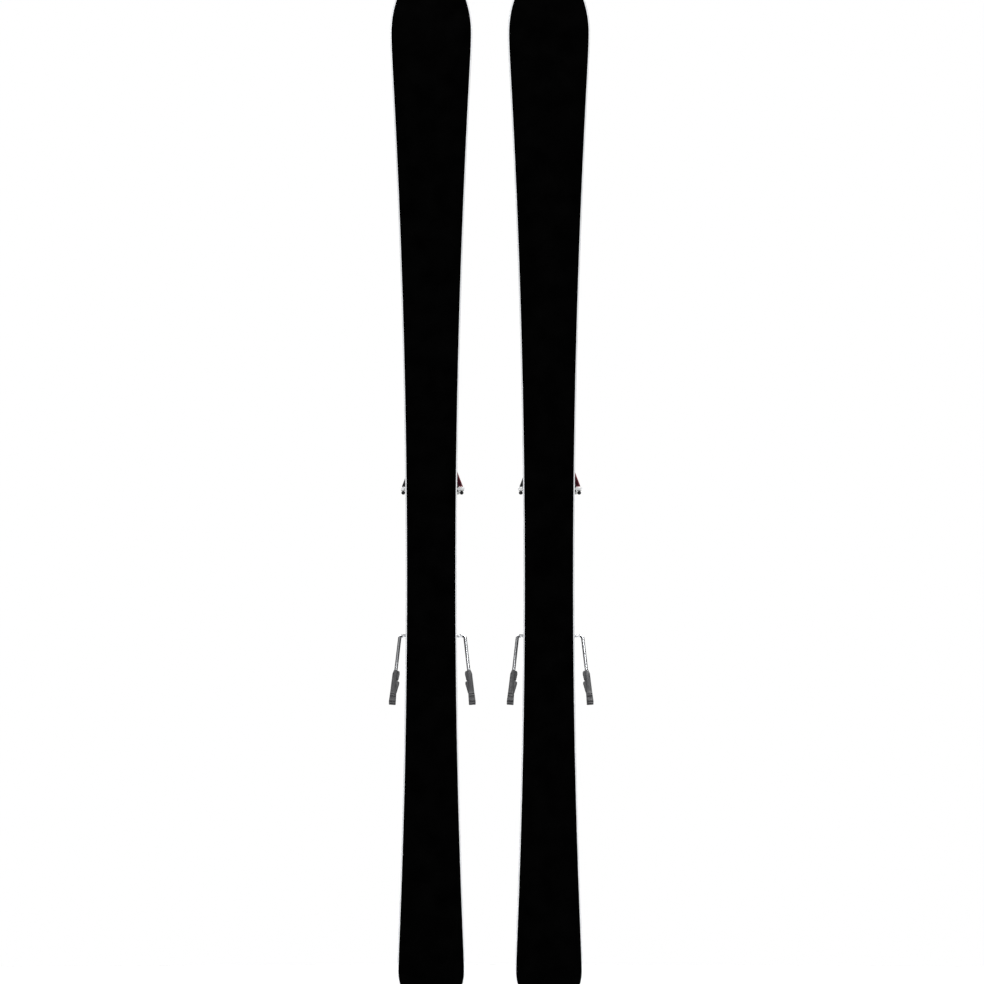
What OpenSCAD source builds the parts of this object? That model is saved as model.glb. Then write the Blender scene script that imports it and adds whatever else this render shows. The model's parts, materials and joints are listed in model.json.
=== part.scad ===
// Pair of alpine skis with step-in bindings, standing upright on their tails.
// Each ski is drawn in its own frame: x across, y from tail to tip, z up from the base.
// on_ski() and on_binding() stand it up: the tip points to +Z, the base faces -Y and the top sheet
// faces +Y. The binding's own frame is the ski's, moved sideways by binding_offset.

/* [Ski] */
// Length from tail to tip
ski_length = 1554; // [1540:1:1570]
// Width at the waist, steel edges included
waist_width = 76.4; // [74:0.2:80]
// Width of the tip ellipse where the shovel is widest
shovel_width = 123.6; // [120:0.2:126]
// Width of the tail ellipse where the tail is widest
tail_width = 102.6; // [100:0.2:106]
// Distance of the waist from the tail
waist_pos = 630; // [600:5:660]
// Sidecut radius ahead of the waist
front_radius = 13700; // [13000:100:15000]
// Sidecut radius behind the waist
rear_radius = 12700; // [12000:100:14000]
// Height of the arch under the binding
camber = 4; // [0:0.5:6]
// Rise of the tip above the snow
tip_rise = 52; // [40:1:60]
// Thickness under the binding
mid_thickness = 17; // [16:0.5:18]
// Distance between the two skis' centre lines
ski_spacing = 176.6; // [172:0.2:200]
// How far the ski's centre line lies beside the binding's
binding_offset = 1.7; // [0:0.1:2]

/* [Binding] */
// Sole length of the boot that the heel piece is set for
boot_sole = 300; // [298:1:302]
// Place of the middle of the boot sole, from the tail
boot_centre = 621; // [619:1:623]
// Distance between the brake arms' centre lines at their elbows
brake_span = 98.8; // [98:0.2:104]
// Angle of the brake arms below the ski when no boot stands on the pedal
brake_angle = 37; // [34:1:38]

/* [Hidden] */
$fn = 48;
left = -1;
right = 1;

// Ski layers
base_t = 1.3;
edge_w = 1.8;
edge_h = 2.1;
wall_w = 6;
sheet_t = 1;
sheet_inset = 0.5;
tip_thickness = 6;
tail_thickness = 7;
tail_rise = 4;
guard_len = 14;
tail_contact = 50;
flat_start = 335;
flat_end = 915;
tip_contact = 1370;
rocker_start = 1340;
nose_len = 105;
nose_start = ski_length - nose_len;
tail_round = 64;
tail_wide = 44.6;
corner_blend = 1;

// Heights above the plane that the ski's contact points lie in
ski_top = camber + mid_thickness;
rail_top = ski_top + 8.5;
base_top = ski_top + 16;
carriage_top = ski_top + 14;
sole_z = ski_top + 25;

// Places along the ski
toe_y = boot_centre + boot_sole / 2;
heel_y = boot_centre - boot_sole / 2;
track_start = 345;
track_end = 905;

// Toe piece
wing_z = 50;
wing_h = 21.5;
wing_pin = [19, toe_y + 29];
pin_r = 2.5;
puller_z = 58;
cavity = 11;
puller_travel = 6;

// Heel piece
heel_pivot = [heel_y - 51, ski_top + 45];
cam_pin = [heel_y - 34, ski_top + 59];
lever_pin = [heel_y - 41, ski_top + 74];
lock_pin = [heel_y - 82, ski_top + 14.5];
heel_axis_z = ski_top + 61;
housing_half = 19.8;
shaft_r = 4;
heel_cavity = 8.8;
lever_rise = 16;

// Brake
wire_r = 2.5;
brake_y = heel_y + 74.7;
brake_z = ski_top + 19.5;
arm_len = 125.4;
arm_flare = 5.2;
elbow_r = 7;
leg_x = 17.5;
leg_bend = 5;
bow_y = 51;
sleeve_start = 59.5;

// The pair's box is centred on the origin in Y: lowest is a brake tip, highest the heel lever
lowest = brake_z - (arm_len + 1) * sin(brake_angle) - 4.6 * cos(brake_angle);
highest = lever_pin[1] + 80 * sin(lever_rise) + 4 * cos(lever_rise);
depth_shift = -(lowest + highest) / 2;

screw_places = [for (y = [366, 590, 692, 894]) for (x = [-22, 22]) [x, y]];

// ---- placing ----

module on_binding(side) translate([side * ski_spacing / 2, depth_shift, 0]) rotate([90, 0, 180]) children();

module on_ski(side) on_binding(side) translate([binding_offset, 0, 0]) children();

module on_both_skis() for (side = [left, right]) on_ski(side) children();

module on_both_bindings() for (side = [left, right]) on_binding(side) children();

// A (y, z) outline drawn across the ski from x0 to x1
module across(x0, x1) translate([x0, 0, 0]) rotate([90, 0, 90]) linear_extrude(x1 - x0) children();

// An (x, z) outline drawn along the ski from y0 to y1
module along(y0, y1) translate([0, y1, 0]) rotate([90, 0, 0]) linear_extrude(y1 - y0) children();

module block(x, y, z) translate([x[0], y[0], z[0]]) cube([x[1] - x[0], y[1] - y[0], z[1] - z[0]]);

module rod_x(r, x0, x1, at) translate([x0, at[0], at[1]]) rotate([0, 90, 0]) cylinder(r = r, h = x1 - x0);

module rod_y(r, y0, y1, x, z) translate([x, y0, z]) rotate([-90, 0, 0]) cylinder(r = r, h = y1 - y0);

module both_sides() for (m = [0, 1]) mirror([m, 0, 0]) children();

// A rectangle with true round corners
module rounded(w, h, r) {
    square([w, h - 2 * r], center = true);
    square([w - 2 * r, h], center = true);
    for (x = [-1, 1]) for (y = [-1, 1]) translate([x * (w / 2 - r), y * (h / 2 - r)]) circle(r);
}

// ---- shape of the ski ----

function ease(t) = (1 - cos(180 * min(max(t, 0), 1))) / 2;

function step_up(y, from, to) = ease((y - from) / (to - from));

function power_rise(t, height, exponent) = height * pow(max(t, 0), exponent);

function base_z(y) =
    camber * step_up(y, tail_contact, flat_start) * (1 - step_up(y, flat_end, tip_contact))
    + power_rise((y - rocker_start) / (ski_length - rocker_start), tip_rise, 2.3)
    + power_rise((tail_contact - y) / tail_contact, tail_rise, 2);

function thickness(y) = y < waist_pos
    ? tail_thickness + (mid_thickness - tail_thickness) * step_up(y, 0, flat_start)
    : mid_thickness - (mid_thickness - tip_thickness) * step_up(y, flat_end, tip_contact + 50);

function sidecut(y) =
    waist_width / 2 + pow(y - waist_pos, 2) / (2 * (y > waist_pos ? front_radius : rear_radius));

function ellipse(along, half_w, half_l) = half_w * sqrt(max(0, 1 - pow(max(along, 0) / half_l, 2)));

function soft_min(a, b) = (a + b - sqrt(pow(a - b, 2) + pow(corner_blend, 2))) / 2;

// Half width of the ski at y, with its outline moved in by inset all round
function half_width(y, inset) = y > waist_pos
    ? soft_min(sidecut(y) - inset, ellipse(y - nose_start, shovel_width / 2 - inset, nose_len - inset))
    : soft_min(sidecut(y) - inset, ellipse(tail_wide - y, tail_width / 2 - inset, tail_round - inset));

// Places along one side of the outline: close together at the tail and round the tip
function outline_places(inset, from) = concat(
    [for (y = [from:4:tail_contact]) y],
    [for (y = [64:38:1300]) y],
    [for (y = [1310:14:nose_start - 8]) y],
    [for (a = [0:6:84]) nose_start + (nose_len - inset) * sin(a)]
);

module ski_outline(inset = 0, from = guard_len) {
    places = outline_places(inset, from);
    side_points = [for (y = places) [max(half_width(y, inset), 0.5), y]];
    last = len(places) - 1;
    polygon(concat(
        side_points,
        [[0, ski_length - inset]],
        [for (i = [last:-1:0]) [-side_points[i][0], side_points[i][1]]]
    ));
}

profile_places = concat(
    [for (y = [0:10:60]) y], [for (y = [80:40:320]) y], [flat_start, 630, flat_end],
    [for (y = [950:40:1350]) y], [for (y = [1370:16:1546]) y], [ski_length + 2]
);

function top_z(y) = base_z(y) + thickness(y);

// The layer of the ski from low above the base to high above it, or to drop under the top
module layer(low, high = undef, drop = 0) {
    last = len(profile_places) - 1;
    upper = [for (y = profile_places) [y, is_undef(high) ? top_z(y) - drop : base_z(y) + high]];
    lower = [for (y = profile_places) [y, base_z(y) + (is_undef(low) ? thickness(y) - sheet_t : low)]];
    across(-80, 80) polygon(concat(lower, [for (i = [last:-1:0]) upper[i]]));
}

module band(inner, outer, low, high = undef, drop = 0) intersection() {
    linear_extrude(120) difference() {
        ski_outline(outer);
        ski_outline(inner, guard_len - 4);
    }
    layer(low, high, drop);
}

module screw_holes() for (p = screw_places)
    translate([p[0] - binding_offset, p[1], ski_top - 10]) cylinder(r = 2.8, h = 20);

// ---- ski ----

module ski_base() color([0.03, 0.03, 0.03]) intersection() {
    linear_extrude(120) ski_outline(edge_w);
    layer(0, base_t);
}

module steel_edge() color("silver") band(edge_w, 0, 0, edge_h);

module sidewall() color([0.08, 0.08, 0.09]) union() {
    band(wall_w, 0, edge_h, drop = sheet_t);
    band(wall_w, edge_w, base_t, edge_h);
}

module core() color("burlywood") difference() {
    intersection() {
        linear_extrude(120) ski_outline(wall_w);
        layer(base_t, drop = sheet_t);
    }
    screw_holes();
}

module top_sheet() color([0.05, 0.05, 0.06]) difference() {
    intersection() {
        linear_extrude(120) ski_outline(sheet_inset);
        layer(undef);
    }
    screw_holes();
}

// Closes the tail; its flat end is what the upright ski stands on
module tail_guard() color([0.2, 0.2, 0.2]) intersection() {
    linear_extrude(120) difference() {
        ski_outline(0, 0);
        translate([-80, guard_len]) square([160, 2000]);
    }
    layer(0);
    across(-80, 80) translate([0, base_z(0) - 5]) square([guard_len, 20]);
}

// ---- track ----

module rail_section() polygon([
    [-30, ski_top], [30, ski_top], [30, ski_top + 2.8], [26, ski_top + 2.8],
    [26, ski_top + 5.4], [30, ski_top + 5.4], [30, rail_top], [-30, rail_top],
    [-30, ski_top + 5.4], [-26, ski_top + 5.4], [-26, ski_top + 2.8], [-30, ski_top + 2.8]
]);

module track_plate() color([0.12, 0.12, 0.13]) difference() {
    along(track_start, track_end) rail_section();
    // rack for the heel piece's lock
    for (i = [0:13]) block([-12, 12], [350 + 4 * i, 352.2 + 4 * i], [rail_top - 1.4, rail_top + 1]);
    // slots that let the ski flex
    for (y = [615, 640, 665]) block([-16, 16], [y, y + 12], [ski_top - 1, rail_top + 1]);
    for (p = screw_places) translate([p[0], p[1], 0]) {
        translate([0, 0, ski_top - 1]) cylinder(r = 2.8, h = 20);
        translate([0, 0, rail_top - 2.5]) cylinder(r = 4.7, h = 5);
    }
}

module fixing_screw() difference() {
    union() {
        translate([0, 0, ski_top - 9]) cylinder(r = 2.75, h = 15.2);
        translate([0, 0, rail_top - 2.5]) cylinder(r = 4.6, h = 2.4);
    }
    for (a = [0, 90]) translate([0, 0, rail_top - 0.9]) rotate([0, 0, a]) cube([5.4, 1.1, 2], center = true);
}

module fixing_screws() color("silver") for (p = screw_places) translate([p[0], p[1], 0]) fixing_screw();

// Channel that clips round the rail, with its top at the given height
module channel_section(top) polygon([
    [-33, ski_top + 3.2], [-26.4, ski_top + 3.2], [-26.4, ski_top + 5], [-30.4, ski_top + 5],
    [-30.4, rail_top + 0.3], [30.4, rail_top + 0.3], [30.4, ski_top + 5], [26.4, ski_top + 5],
    [26.4, ski_top + 3.2], [33, ski_top + 3.2], [33, top - 3], [30, top], [-30, top], [-33, top - 3]
]);

// ---- toe piece ----

glide_y = [toe_y - 63, toe_y - 17];
rib_places = [toe_y - 55, toe_y - 28];
housing_y = [toe_y + 3, toe_y + 115];

module toe_base() color([0.1, 0.1, 0.1]) {
    along(toe_y - 71, toe_y + 113) channel_section(base_top);
    for (y = rib_places) block([-20, 20], [y, y + 3], [base_top - 1, base_top + 2.4]);
}

// Slides sideways on the two ribs when a boot twists out
module glide_plate() color([0.55, 0.56, 0.58]) difference() {
    translate([0, (glide_y[0] + glide_y[1]) / 2, base_top + 0.4])
        linear_extrude(sole_z - base_top - 0.4) rounded(58, glide_y[1] - glide_y[0], 6);
    for (y = rib_places) block([-40, 40], [y - 0.3, y + 3.3], [base_top, base_top + 2.8]);
}

module housing_plan() polygon([
    for (side = [1, -1]) for (p = side > 0
        ? [[11, 3], [22, 8], [27.5, 19], [29, 35], [28, 59], [25.5, 84], [21, 104], [14, 113]]
        : [[14, 113], [21, 104], [25.5, 84], [28, 59], [29, 35], [27.5, 19], [22, 8], [11, 3]])
    [side * p[0], toe_y + p[1]]
]);

module housing_side() translate([toe_y, base_top]) polygon([
    [3, 0], [115, 0], [116, 10], [109, 21], [91, 34.5], [64, 43], [34, 47], [14, 47], [5, 44], [3, 37]
]);

module housing_front() translate([0, base_top]) polygon([
    [-29, 0], [29, 0], [29, 33], [21, 47], [-21, 47], [-29, 33]
]);

module toe_housing() color([0.06, 0.06, 0.07]) difference() {
    intersection() {
        translate([0, 0, base_top]) linear_extrude(60) housing_plan();
        across(-40, 40) housing_side();
        along(toe_y, toe_y + 120) housing_front();
    }
    // room for the wings and the puller's cross head
    block([-60, 60], [toe_y + 5.5, toe_y + 35], [wing_z - 0.4, wing_z + wing_h + 0.4]);
    both_sides() block([11.2, 60], [toe_y, toe_y + 40.6], [wing_z - 0.4, wing_z + wing_h + 0.4]);
    // spring chamber, rod hole and the screw's way in
    block([-cavity, cavity], [toe_y + 41, toe_y + 93], [puller_z - cavity, puller_z + cavity]);
    rod_y(3.3, toe_y + 30, toe_y + 45, 0, puller_z);
    rod_y(6, toe_y + 90, toe_y + 120, 0, puller_z);
    // window over the release setting
    block([-4, 4], [toe_y + 63, toe_y + 87], [puller_z, 100]);
    both_sides() translate([wing_pin[0], wing_pin[1], wing_z - 6]) cylinder(r = pin_r + 0.05, h = wing_h + 12);
}

module wing_pin_pair() color("silver") both_sides()
    translate([wing_pin[0], wing_pin[1], wing_z - 5.9]) cylinder(r = pin_r, h = wing_h + 11.8);

// The right-hand wing; the other is its mirror image
module wing_arm() difference() {
    union() {
        translate([0, toe_y, wing_z]) linear_extrude(wing_h) polygon([
            [14, 22], [14, 35.5], [27.5, 37], [31.2, 36], [46.6, -1], [47.4, -5.8], [30.2, -5.8], [30, -1], [24, 5.5]
        ]);
        translate([wing_pin[0], wing_pin[1], wing_z]) cylinder(r = 8, h = wing_h);
        // lever that draws the puller back
        block([4.2, 16], [toe_y + 24, toe_y + 32], [puller_z - 5, puller_z + 5]);
        // lip over the boot's toe
        translate([0, toe_y, sole_z + 19.3]) linear_extrude(wing_z + wing_h - sole_z - 19.3) polygon([
            [15.5, 4], [24, 5.5], [30.2, -1], [30.2, -11.5], [24, -8], [16, -2.5]
        ]);
    }
    translate([wing_pin[0], wing_pin[1], wing_z - 1]) cylinder(r = pin_r + 0.06, h = wing_h + 2);
}

module wing_end() translate([0, toe_y, wing_z - 1.5]) linear_extrude(wing_h + 1.5) polygon([
    [30.4, -6], [47.4, -6], [47.6, -10], [46.6, -12], [44.5, -13.2], [34, -14], [31.5, -12], [30.4, -9]
]);

module black_wing() color([0.05, 0.05, 0.05]) wing_arm();

module red_wing() color([0.7, 0.04, 0.08]) mirror([1, 0, 0]) wing_arm();

module black_wing_tip() color([0.04, 0.04, 0.04]) wing_end();

module red_wing_tip() color([0.04, 0.04, 0.04]) mirror([1, 0, 0]) wing_end();

// Cross head that the wings' levers draw towards the boot, and the rod to the adjusting screw.
// Only the black wing's lever meets it closely; the other side has room for its own wing to open.
module toe_puller() color("gray") {
    rod_y(3, toe_y + 20, toe_y + 54.4, 0, puller_z);
    block([-2, 13], [toe_y + 17.6, toe_y + 23.6], [puller_z - 6, puller_z + 6]);
    block([-13, 2], [toe_y + 11.6, toe_y + 17.7], [puller_z - 6, puller_z + 6]);
}

module toe_screw() color("silver") difference() {
    union() {
        rod_y(3, toe_y + 54.5, toe_y + 95, 0, puller_z);
        rod_y(5.5, toe_y + 94, toe_y + 106, 0, puller_z);
    }
    for (a = [0, 90]) translate([0, toe_y + 105, puller_z]) rotate([0, a, 0]) cube([6, 4, 1.4], center = true);
}

// Square nut that seats the spring; its tab shows the setting in the window
module toe_nut() color("gold") difference() {
    union() {
        block([-10.4, 10.4], [toe_y + 74, toe_y + 81], [puller_z - 10.4, puller_z + 10.4]);
        block([-3, 3], [toe_y + 76, toe_y + 79], [puller_z + 9, puller_z + 13]);
    }
    rod_y(3.08, toe_y + 70, toe_y + 85, 0, puller_z);
}

// A coil spring along y, built as one tube that follows a helix
module coil(y0, y1, mean_r, r, turns, x, z) {
    sides = 6;
    steps = 10;
    rings = steps * turns;
    rise = (y1 - y0 - 2 * r) / rings;
    points = [
        for (i = [0:rings]) for (k = [0:sides - 1])
            let (a = 360 * i / steps, b = 360 * k / sides, out = mean_r + r * cos(b))
            [x + out * cos(a), y0 + r + rise * i + r * sin(b), z + out * sin(a)]
    ];
    walls = [
        for (i = [0:rings - 1]) for (k = [0:sides - 1])
            let (n = (k + 1) % sides)
            [i * sides + k, i * sides + n, (i + 1) * sides + n, (i + 1) * sides + k]
    ];
    polyhedron(
        points,
        concat([[for (k = [sides - 1:-1:0]) k]], walls, [[for (k = [0:sides - 1]) rings * sides + k]])
    );
}

module toe_spring() color("dimgray") coil(toe_y + 41.3, toe_y + 73.7, 8.6, 1.5, 6, 0, puller_z);

// ---- heel piece ----

module cheek() {
    polygon([
        [heel_pivot[0] - 18, carriage_top - 1], [heel_pivot[0] + 26, carriage_top - 1],
        [cam_pin[0] + 8, cam_pin[1]], [cam_pin[0] - 4, cam_pin[1] + 6], [heel_pivot[0] - 10, heel_pivot[1] + 6.6]
    ]);
    translate(heel_pivot) circle(12);
    translate(cam_pin) circle(8);
}

module heel_carriage() color([0.1, 0.1, 0.11]) {
    difference() {
        union() {
            along(heel_y - 73, heel_y + 109) channel_section(carriage_top);
            along(heel_y - 91, heel_y - 72) channel_section(carriage_top - 3);
            both_sides() across(20.5, 26.5) cheek();
        }
        rod_x(shaft_r + 0.02, -30, 30, heel_pivot);
        rod_x(shaft_r + 0.02, -30, 30, cam_pin);
    }
    // ears that hold the lock lever
    both_sides() difference() {
        block([14.2, 17.5], [lock_pin[0] - 5, lock_pin[0] + 5], [carriage_top - 4, lock_pin[1] + 4]);
        rod_x(2.05, 10, 20, lock_pin);
    }
}

module heel_pins() color("silver") {
    rod_x(shaft_r, -28, 28, heel_pivot);
    rod_x(shaft_r, -27.5, 27.5, cam_pin);
    rod_x(2, -17.5, 17.5, lock_pin);
}

module lock_lever() color([0.45, 0.46, 0.48]) difference() {
    union() {
        rod_x(3.4, -13.8, 13.8, lock_pin);
        translate([0, lock_pin[0] - 37, lock_pin[1] - 2.4]) linear_extrude(3.8) {
            translate([-13, 0]) square([26, 37]);
            translate([0, 2]) rounded(32, 8, 3);
        }
        // tooth over the rack
        block([-11, 11], [lock_pin[0] - 21, lock_pin[0] - 16], [rail_top + 0.2, lock_pin[1]]);
    }
    rod_x(2.05, -20, 20, lock_pin);
}

module heel_housing() color([0.06, 0.06, 0.07]) difference() {
    across(-housing_half, housing_half) translate([heel_y, ski_top]) polygon([
        [-91, 49], [-73, 41], [-41, 33], [-25, 33], [-21, 36], [-21, 74], [-25, 80],
        [-46, 80], [-76, 72], [-91, 67]
    ]);
    rod_x(shaft_r + 0.06, -30, 30, heel_pivot);
    // path of the fixed cam pin as the housing turns
    translate([-30, heel_pivot[0], heel_pivot[1]]) rotate([0, 90, 0]) rotate([0, 0, 90])
        rotate_extrude(angle = 64, start = -13) translate([17.8, 0]) square([8.6, 60]);
    // spring chamber and the screw's way in
    block([-heel_cavity, heel_cavity], [heel_y - 79, heel_y - 33],
        [heel_axis_z - heel_cavity, heel_axis_z + heel_cavity]);
    rod_y(5.6, heel_y - 95, heel_y - 78, 0, heel_axis_z);
    // window over the release setting
    block([-4, 4], [heel_y - 76, heel_y - 60], [heel_axis_z, 130]);
    both_sides() rod_x(2.56, 13.8, 22, lever_pin);
}

module cup_ring(outer, inner) difference() {
    translate([0, heel_y + 27]) circle(outer);
    translate([0, heel_y + 37]) circle(inner);
    translate([-60, heel_y + 15]) square([120, 100]);
    both_sides() translate([34, heel_y - 50]) square([30, 100]);
}

module heel_cup() color([0.07, 0.07, 0.08]) {
    difference() {
        union() {
            translate([0, 0, sole_z - 1.6]) linear_extrude(40) cup_ring(46, 37);
            translate([0, 0, sole_z + 30.4]) linear_extrude(8) cup_ring(46, 29.5);
        }
        block([-60, 60], [heel_y - 60, heel_y - 20.7], [0, 200]);
    }
    // step that the boot treads down
    translate([0, heel_y, sole_z - 7]) linear_extrude(5.6) polygon([
        [-30, -8], [30, -8], [30, 8], [22, 20], [-22, 20], [-30, 8]
    ]);
    block([-24, 24], [heel_y - 16, heel_y - 6], [sole_z - 7, sole_z + 4]);
    // bracket bolted to the housing
    block([-17, 17], [heel_y - 20.7, heel_y - 10], [sole_z, sole_z + 46]);
}

// Two arms on stub pins and a pad for the pole tip
module heel_lever() color([0.5, 0.51, 0.53]) {
    translate([0, lever_pin[0], lever_pin[1]]) rotate([-lever_rise, 0, 0]) {
        both_sides() across(20.3, 25) {
            circle(6);
            translate([-62, -4]) square([62, 8]);
        }
        difference() {
            translate([0, -67, -4]) linear_extrude(8) rounded(50, 26, 5);
            translate([0, -67, 14]) sphere(14);
        }
    }
    both_sides() rod_x(pin_r, 14, 21, lever_pin);
}

module heel_screw() color("silver") difference() {
    union() {
        rod_y(5.3, heel_y - 90.5, heel_y - 80, 0, heel_axis_z);
        rod_y(3, heel_y - 81, heel_y - 53, 0, heel_axis_z);
    }
    for (a = [0, 90]) translate([0, heel_y - 90, heel_axis_z]) rotate([0, a, 0]) cube([6, 4, 1.4], center = true);
}

module heel_nut() color("gold") difference() {
    union() {
        block([-8.4, 8.4], [heel_y - 71, heel_y - 65], [heel_axis_z - 8.4, heel_axis_z + 8.4]);
        block([-3, 3], [heel_y - 70, heel_y - 67], [heel_axis_z + 8, heel_axis_z + 9.6]);
    }
    rod_y(3.08, heel_y - 75, heel_y - 60, 0, heel_axis_z);
}

module heel_spring() color("dimgray") coil(heel_y - 64.6, heel_y - 47.4, 6.9, 1.4, 4, 0, heel_axis_z);

// Presses on the fixed cam pin
module heel_piston() color("gray") {
    rod_y(8.5, heel_y - 47.2, heel_y - 41, 0, heel_axis_z);
    rod_y(5, heel_y - 42, heel_y - 38.6, 0, heel_axis_z);
}

// ---- brake ----

module brake_base() color([0.09, 0.09, 0.1]) difference() {
    union() {
        block([-30, 30], [brake_y - 19, brake_y + 19], [carriage_top, carriage_top + 2.5]);
        both_sides() block([leg_x + 5.4, 31], [brake_y - 7.5, brake_y + 7.5], [carriage_top, brake_z + 5]);
    }
    rod_x(wire_r + 0.06, -40, 40, [brake_y, brake_z]);
}

// The brake is drawn lying flat, as under a boot, and turned down to where the spring holds it
module deployed() translate([0, brake_y, brake_z]) rotate([brake_angle, 0, 0]) children();

elbow_x = brake_span / 2 - elbow_r;
// Start and end of each groove across a foot, from its tip
foot_grooves = [[5.8, 11], [13.8, 15]];
arm_run = (arm_len - elbow_r) / cos(arm_flare);

// From the end of a brake arm's elbow, with the arm running down -y
module on_arm() translate([brake_span / 2, -elbow_r, 0]) rotate([0, 0, arm_flare]) children();

// Bow under the pedal: two legs joined by a cross bar
module wire_bow(leg_start) {
    both_sides() {
        rod_y(wire_r, leg_start, bow_y - leg_bend, leg_x, 0);
        translate([leg_x - leg_bend, bow_y - leg_bend, 0])
            rotate_extrude(angle = 90) translate([leg_bend, 0]) circle(wire_r);
    }
    rod_x(wire_r, leg_bend - leg_x, leg_x - leg_bend, [bow_y, 0]);
}

module brake_wire() color("silver") deployed() {
    wire_bow(leg_bend);
    both_sides() {
        translate([leg_x + leg_bend, leg_bend, 0]) rotate([0, 0, 180])
            rotate_extrude(angle = 90) translate([leg_bend, 0]) circle(wire_r);
        rod_x(wire_r, leg_x + leg_bend, elbow_x, [0, 0]);
        translate([elbow_x, -elbow_r, 0]) rotate_extrude(angle = 90) translate([elbow_r, 0]) circle(wire_r);
        on_arm() {
            sphere(wire_r + 0.05);
            rod_y(wire_r, -(arm_run - 10), 0, 0, 0);
        }
    }
}

module brake_pedal() color([0.08, 0.08, 0.08]) deployed() difference() {
    translate([0, 34, -2.7]) linear_extrude(8.2) rounded(54, 50, 7);
    wire_bow(0);
    block([-11, 11], [4, 22], [-4, 2]);
}

// Plastic foot on a brake arm: s runs from the elbow to the tip, outwards is +x
module brake_foot() on_arm() difference() {
    translate([0, 0, -4.6]) linear_extrude(9.2) polygon([
        [-3, -sleeve_start], [-4.9, -sleeve_start - 4], [-4.7, -sleeve_start - 16],
        [-2.9, -sleeve_start - 20.5], [-6.4, -sleeve_start - 24], [-3.9, -sleeve_start - 40],
        [-5.4, -arm_run - 0.5], [4.9, -arm_run], [4.3, -sleeve_start - 8], [2.9, -sleeve_start]
    ]);
    rod_y(wire_r, -(arm_run - 10), 0, 0, 0);
    for (groove = foot_grooves, z = [-6.4, 3.4]) block([-8, 8], groove - [arm_run, arm_run], [z, z + 3]);
}

module brake_feet() color([0.25, 0.25, 0.26]) deployed() both_sides() brake_foot();

// ---- nodes ----

on_ski(left) ski_base();  // left_base
on_ski(right) ski_base();  // right_base
on_both_skis() core();  // cores
on_ski(left) top_sheet();  // left_top_sheet
on_ski(right) top_sheet();  // right_top_sheet
on_both_skis() steel_edge();  // steel_edges
on_both_skis() sidewall();  // sidewalls
on_both_skis() tail_guard();  // tail_guards
on_both_bindings() track_plate();  // track_plates
on_both_bindings() fixing_screws();
on_binding(left) toe_base();  // left_toe_base
on_binding(right) toe_base();  // right_toe_base
on_binding(left) toe_housing();  // left_toe_housing
on_binding(right) toe_housing();  // right_toe_housing
on_binding(left) toe_puller();  // left_toe_puller
on_binding(right) toe_puller();  // right_toe_puller
on_both_bindings() toe_spring();  // toe_springs
on_both_bindings() wing_pin_pair();  // wing_pins
on_binding(left) red_wing();  // left_red_wing
on_binding(right) red_wing();  // right_red_wing
on_binding(left) black_wing();  // left_black_wing
on_binding(right) black_wing();  // right_black_wing
on_binding(left) red_wing_tip();  // left_red_wing_tip
on_binding(right) red_wing_tip();  // right_red_wing_tip
on_binding(left) black_wing_tip();  // left_black_wing_tip
on_binding(right) black_wing_tip();  // right_black_wing_tip
on_binding(left) glide_plate();  // left_glide_plate
on_binding(right) glide_plate();  // right_glide_plate
on_binding(left) toe_screw();  // left_toe_screw
on_binding(right) toe_screw();  // right_toe_screw
on_binding(left) toe_nut();  // left_toe_nut
on_binding(right) toe_nut();  // right_toe_nut
on_binding(left) heel_carriage();  // left_heel_carriage
on_binding(right) heel_carriage();  // right_heel_carriage
on_binding(left) lock_lever();  // left_lock_lever
on_binding(right) lock_lever();  // right_lock_lever
on_binding(left) heel_housing();  // left_heel_housing
on_binding(right) heel_housing();  // right_heel_housing
on_binding(left) heel_cup();  // left_heel_cup
on_binding(right) heel_cup();  // right_heel_cup
on_binding(left) heel_lever();  // left_heel_lever
on_binding(right) heel_lever();  // right_heel_lever
on_binding(left) heel_spring();  // left_heel_spring
on_binding(right) heel_spring();  // right_heel_spring
on_binding(left) heel_piston();  // left_heel_piston
on_binding(right) heel_piston();  // right_heel_piston
on_binding(left) heel_screw();  // left_heel_screw
on_binding(right) heel_screw();  // right_heel_screw
on_binding(left) heel_nut();  // left_heel_nut
on_binding(right) heel_nut();  // right_heel_nut
on_binding(left) heel_pins();  // left_heel_pins
on_binding(right) heel_pins();  // right_heel_pins
on_binding(left) brake_base();  // left_brake_base
on_binding(right) brake_base();  // right_brake_base
on_binding(left) brake_wire();  // left_brake_wire
on_binding(right) brake_wire();  // right_brake_wire
on_binding(left) brake_pedal();  // left_brake_pedal
on_binding(right) brake_pedal();  // right_brake_pedal
on_binding(left) brake_feet();  // left_brake_tips
on_binding(right) brake_feet();  // right_brake_tips
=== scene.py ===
"""Looks of the pair of alpine skis. Shapes are built in each ski's or binding's own frame in
millimetres: x across, y from tail to tip, z up from the snow. place() stands them up in the row frame."""

import json
import math

import bmesh
import bpy
import numpy as np
from mathutils import Matrix, Vector

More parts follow.
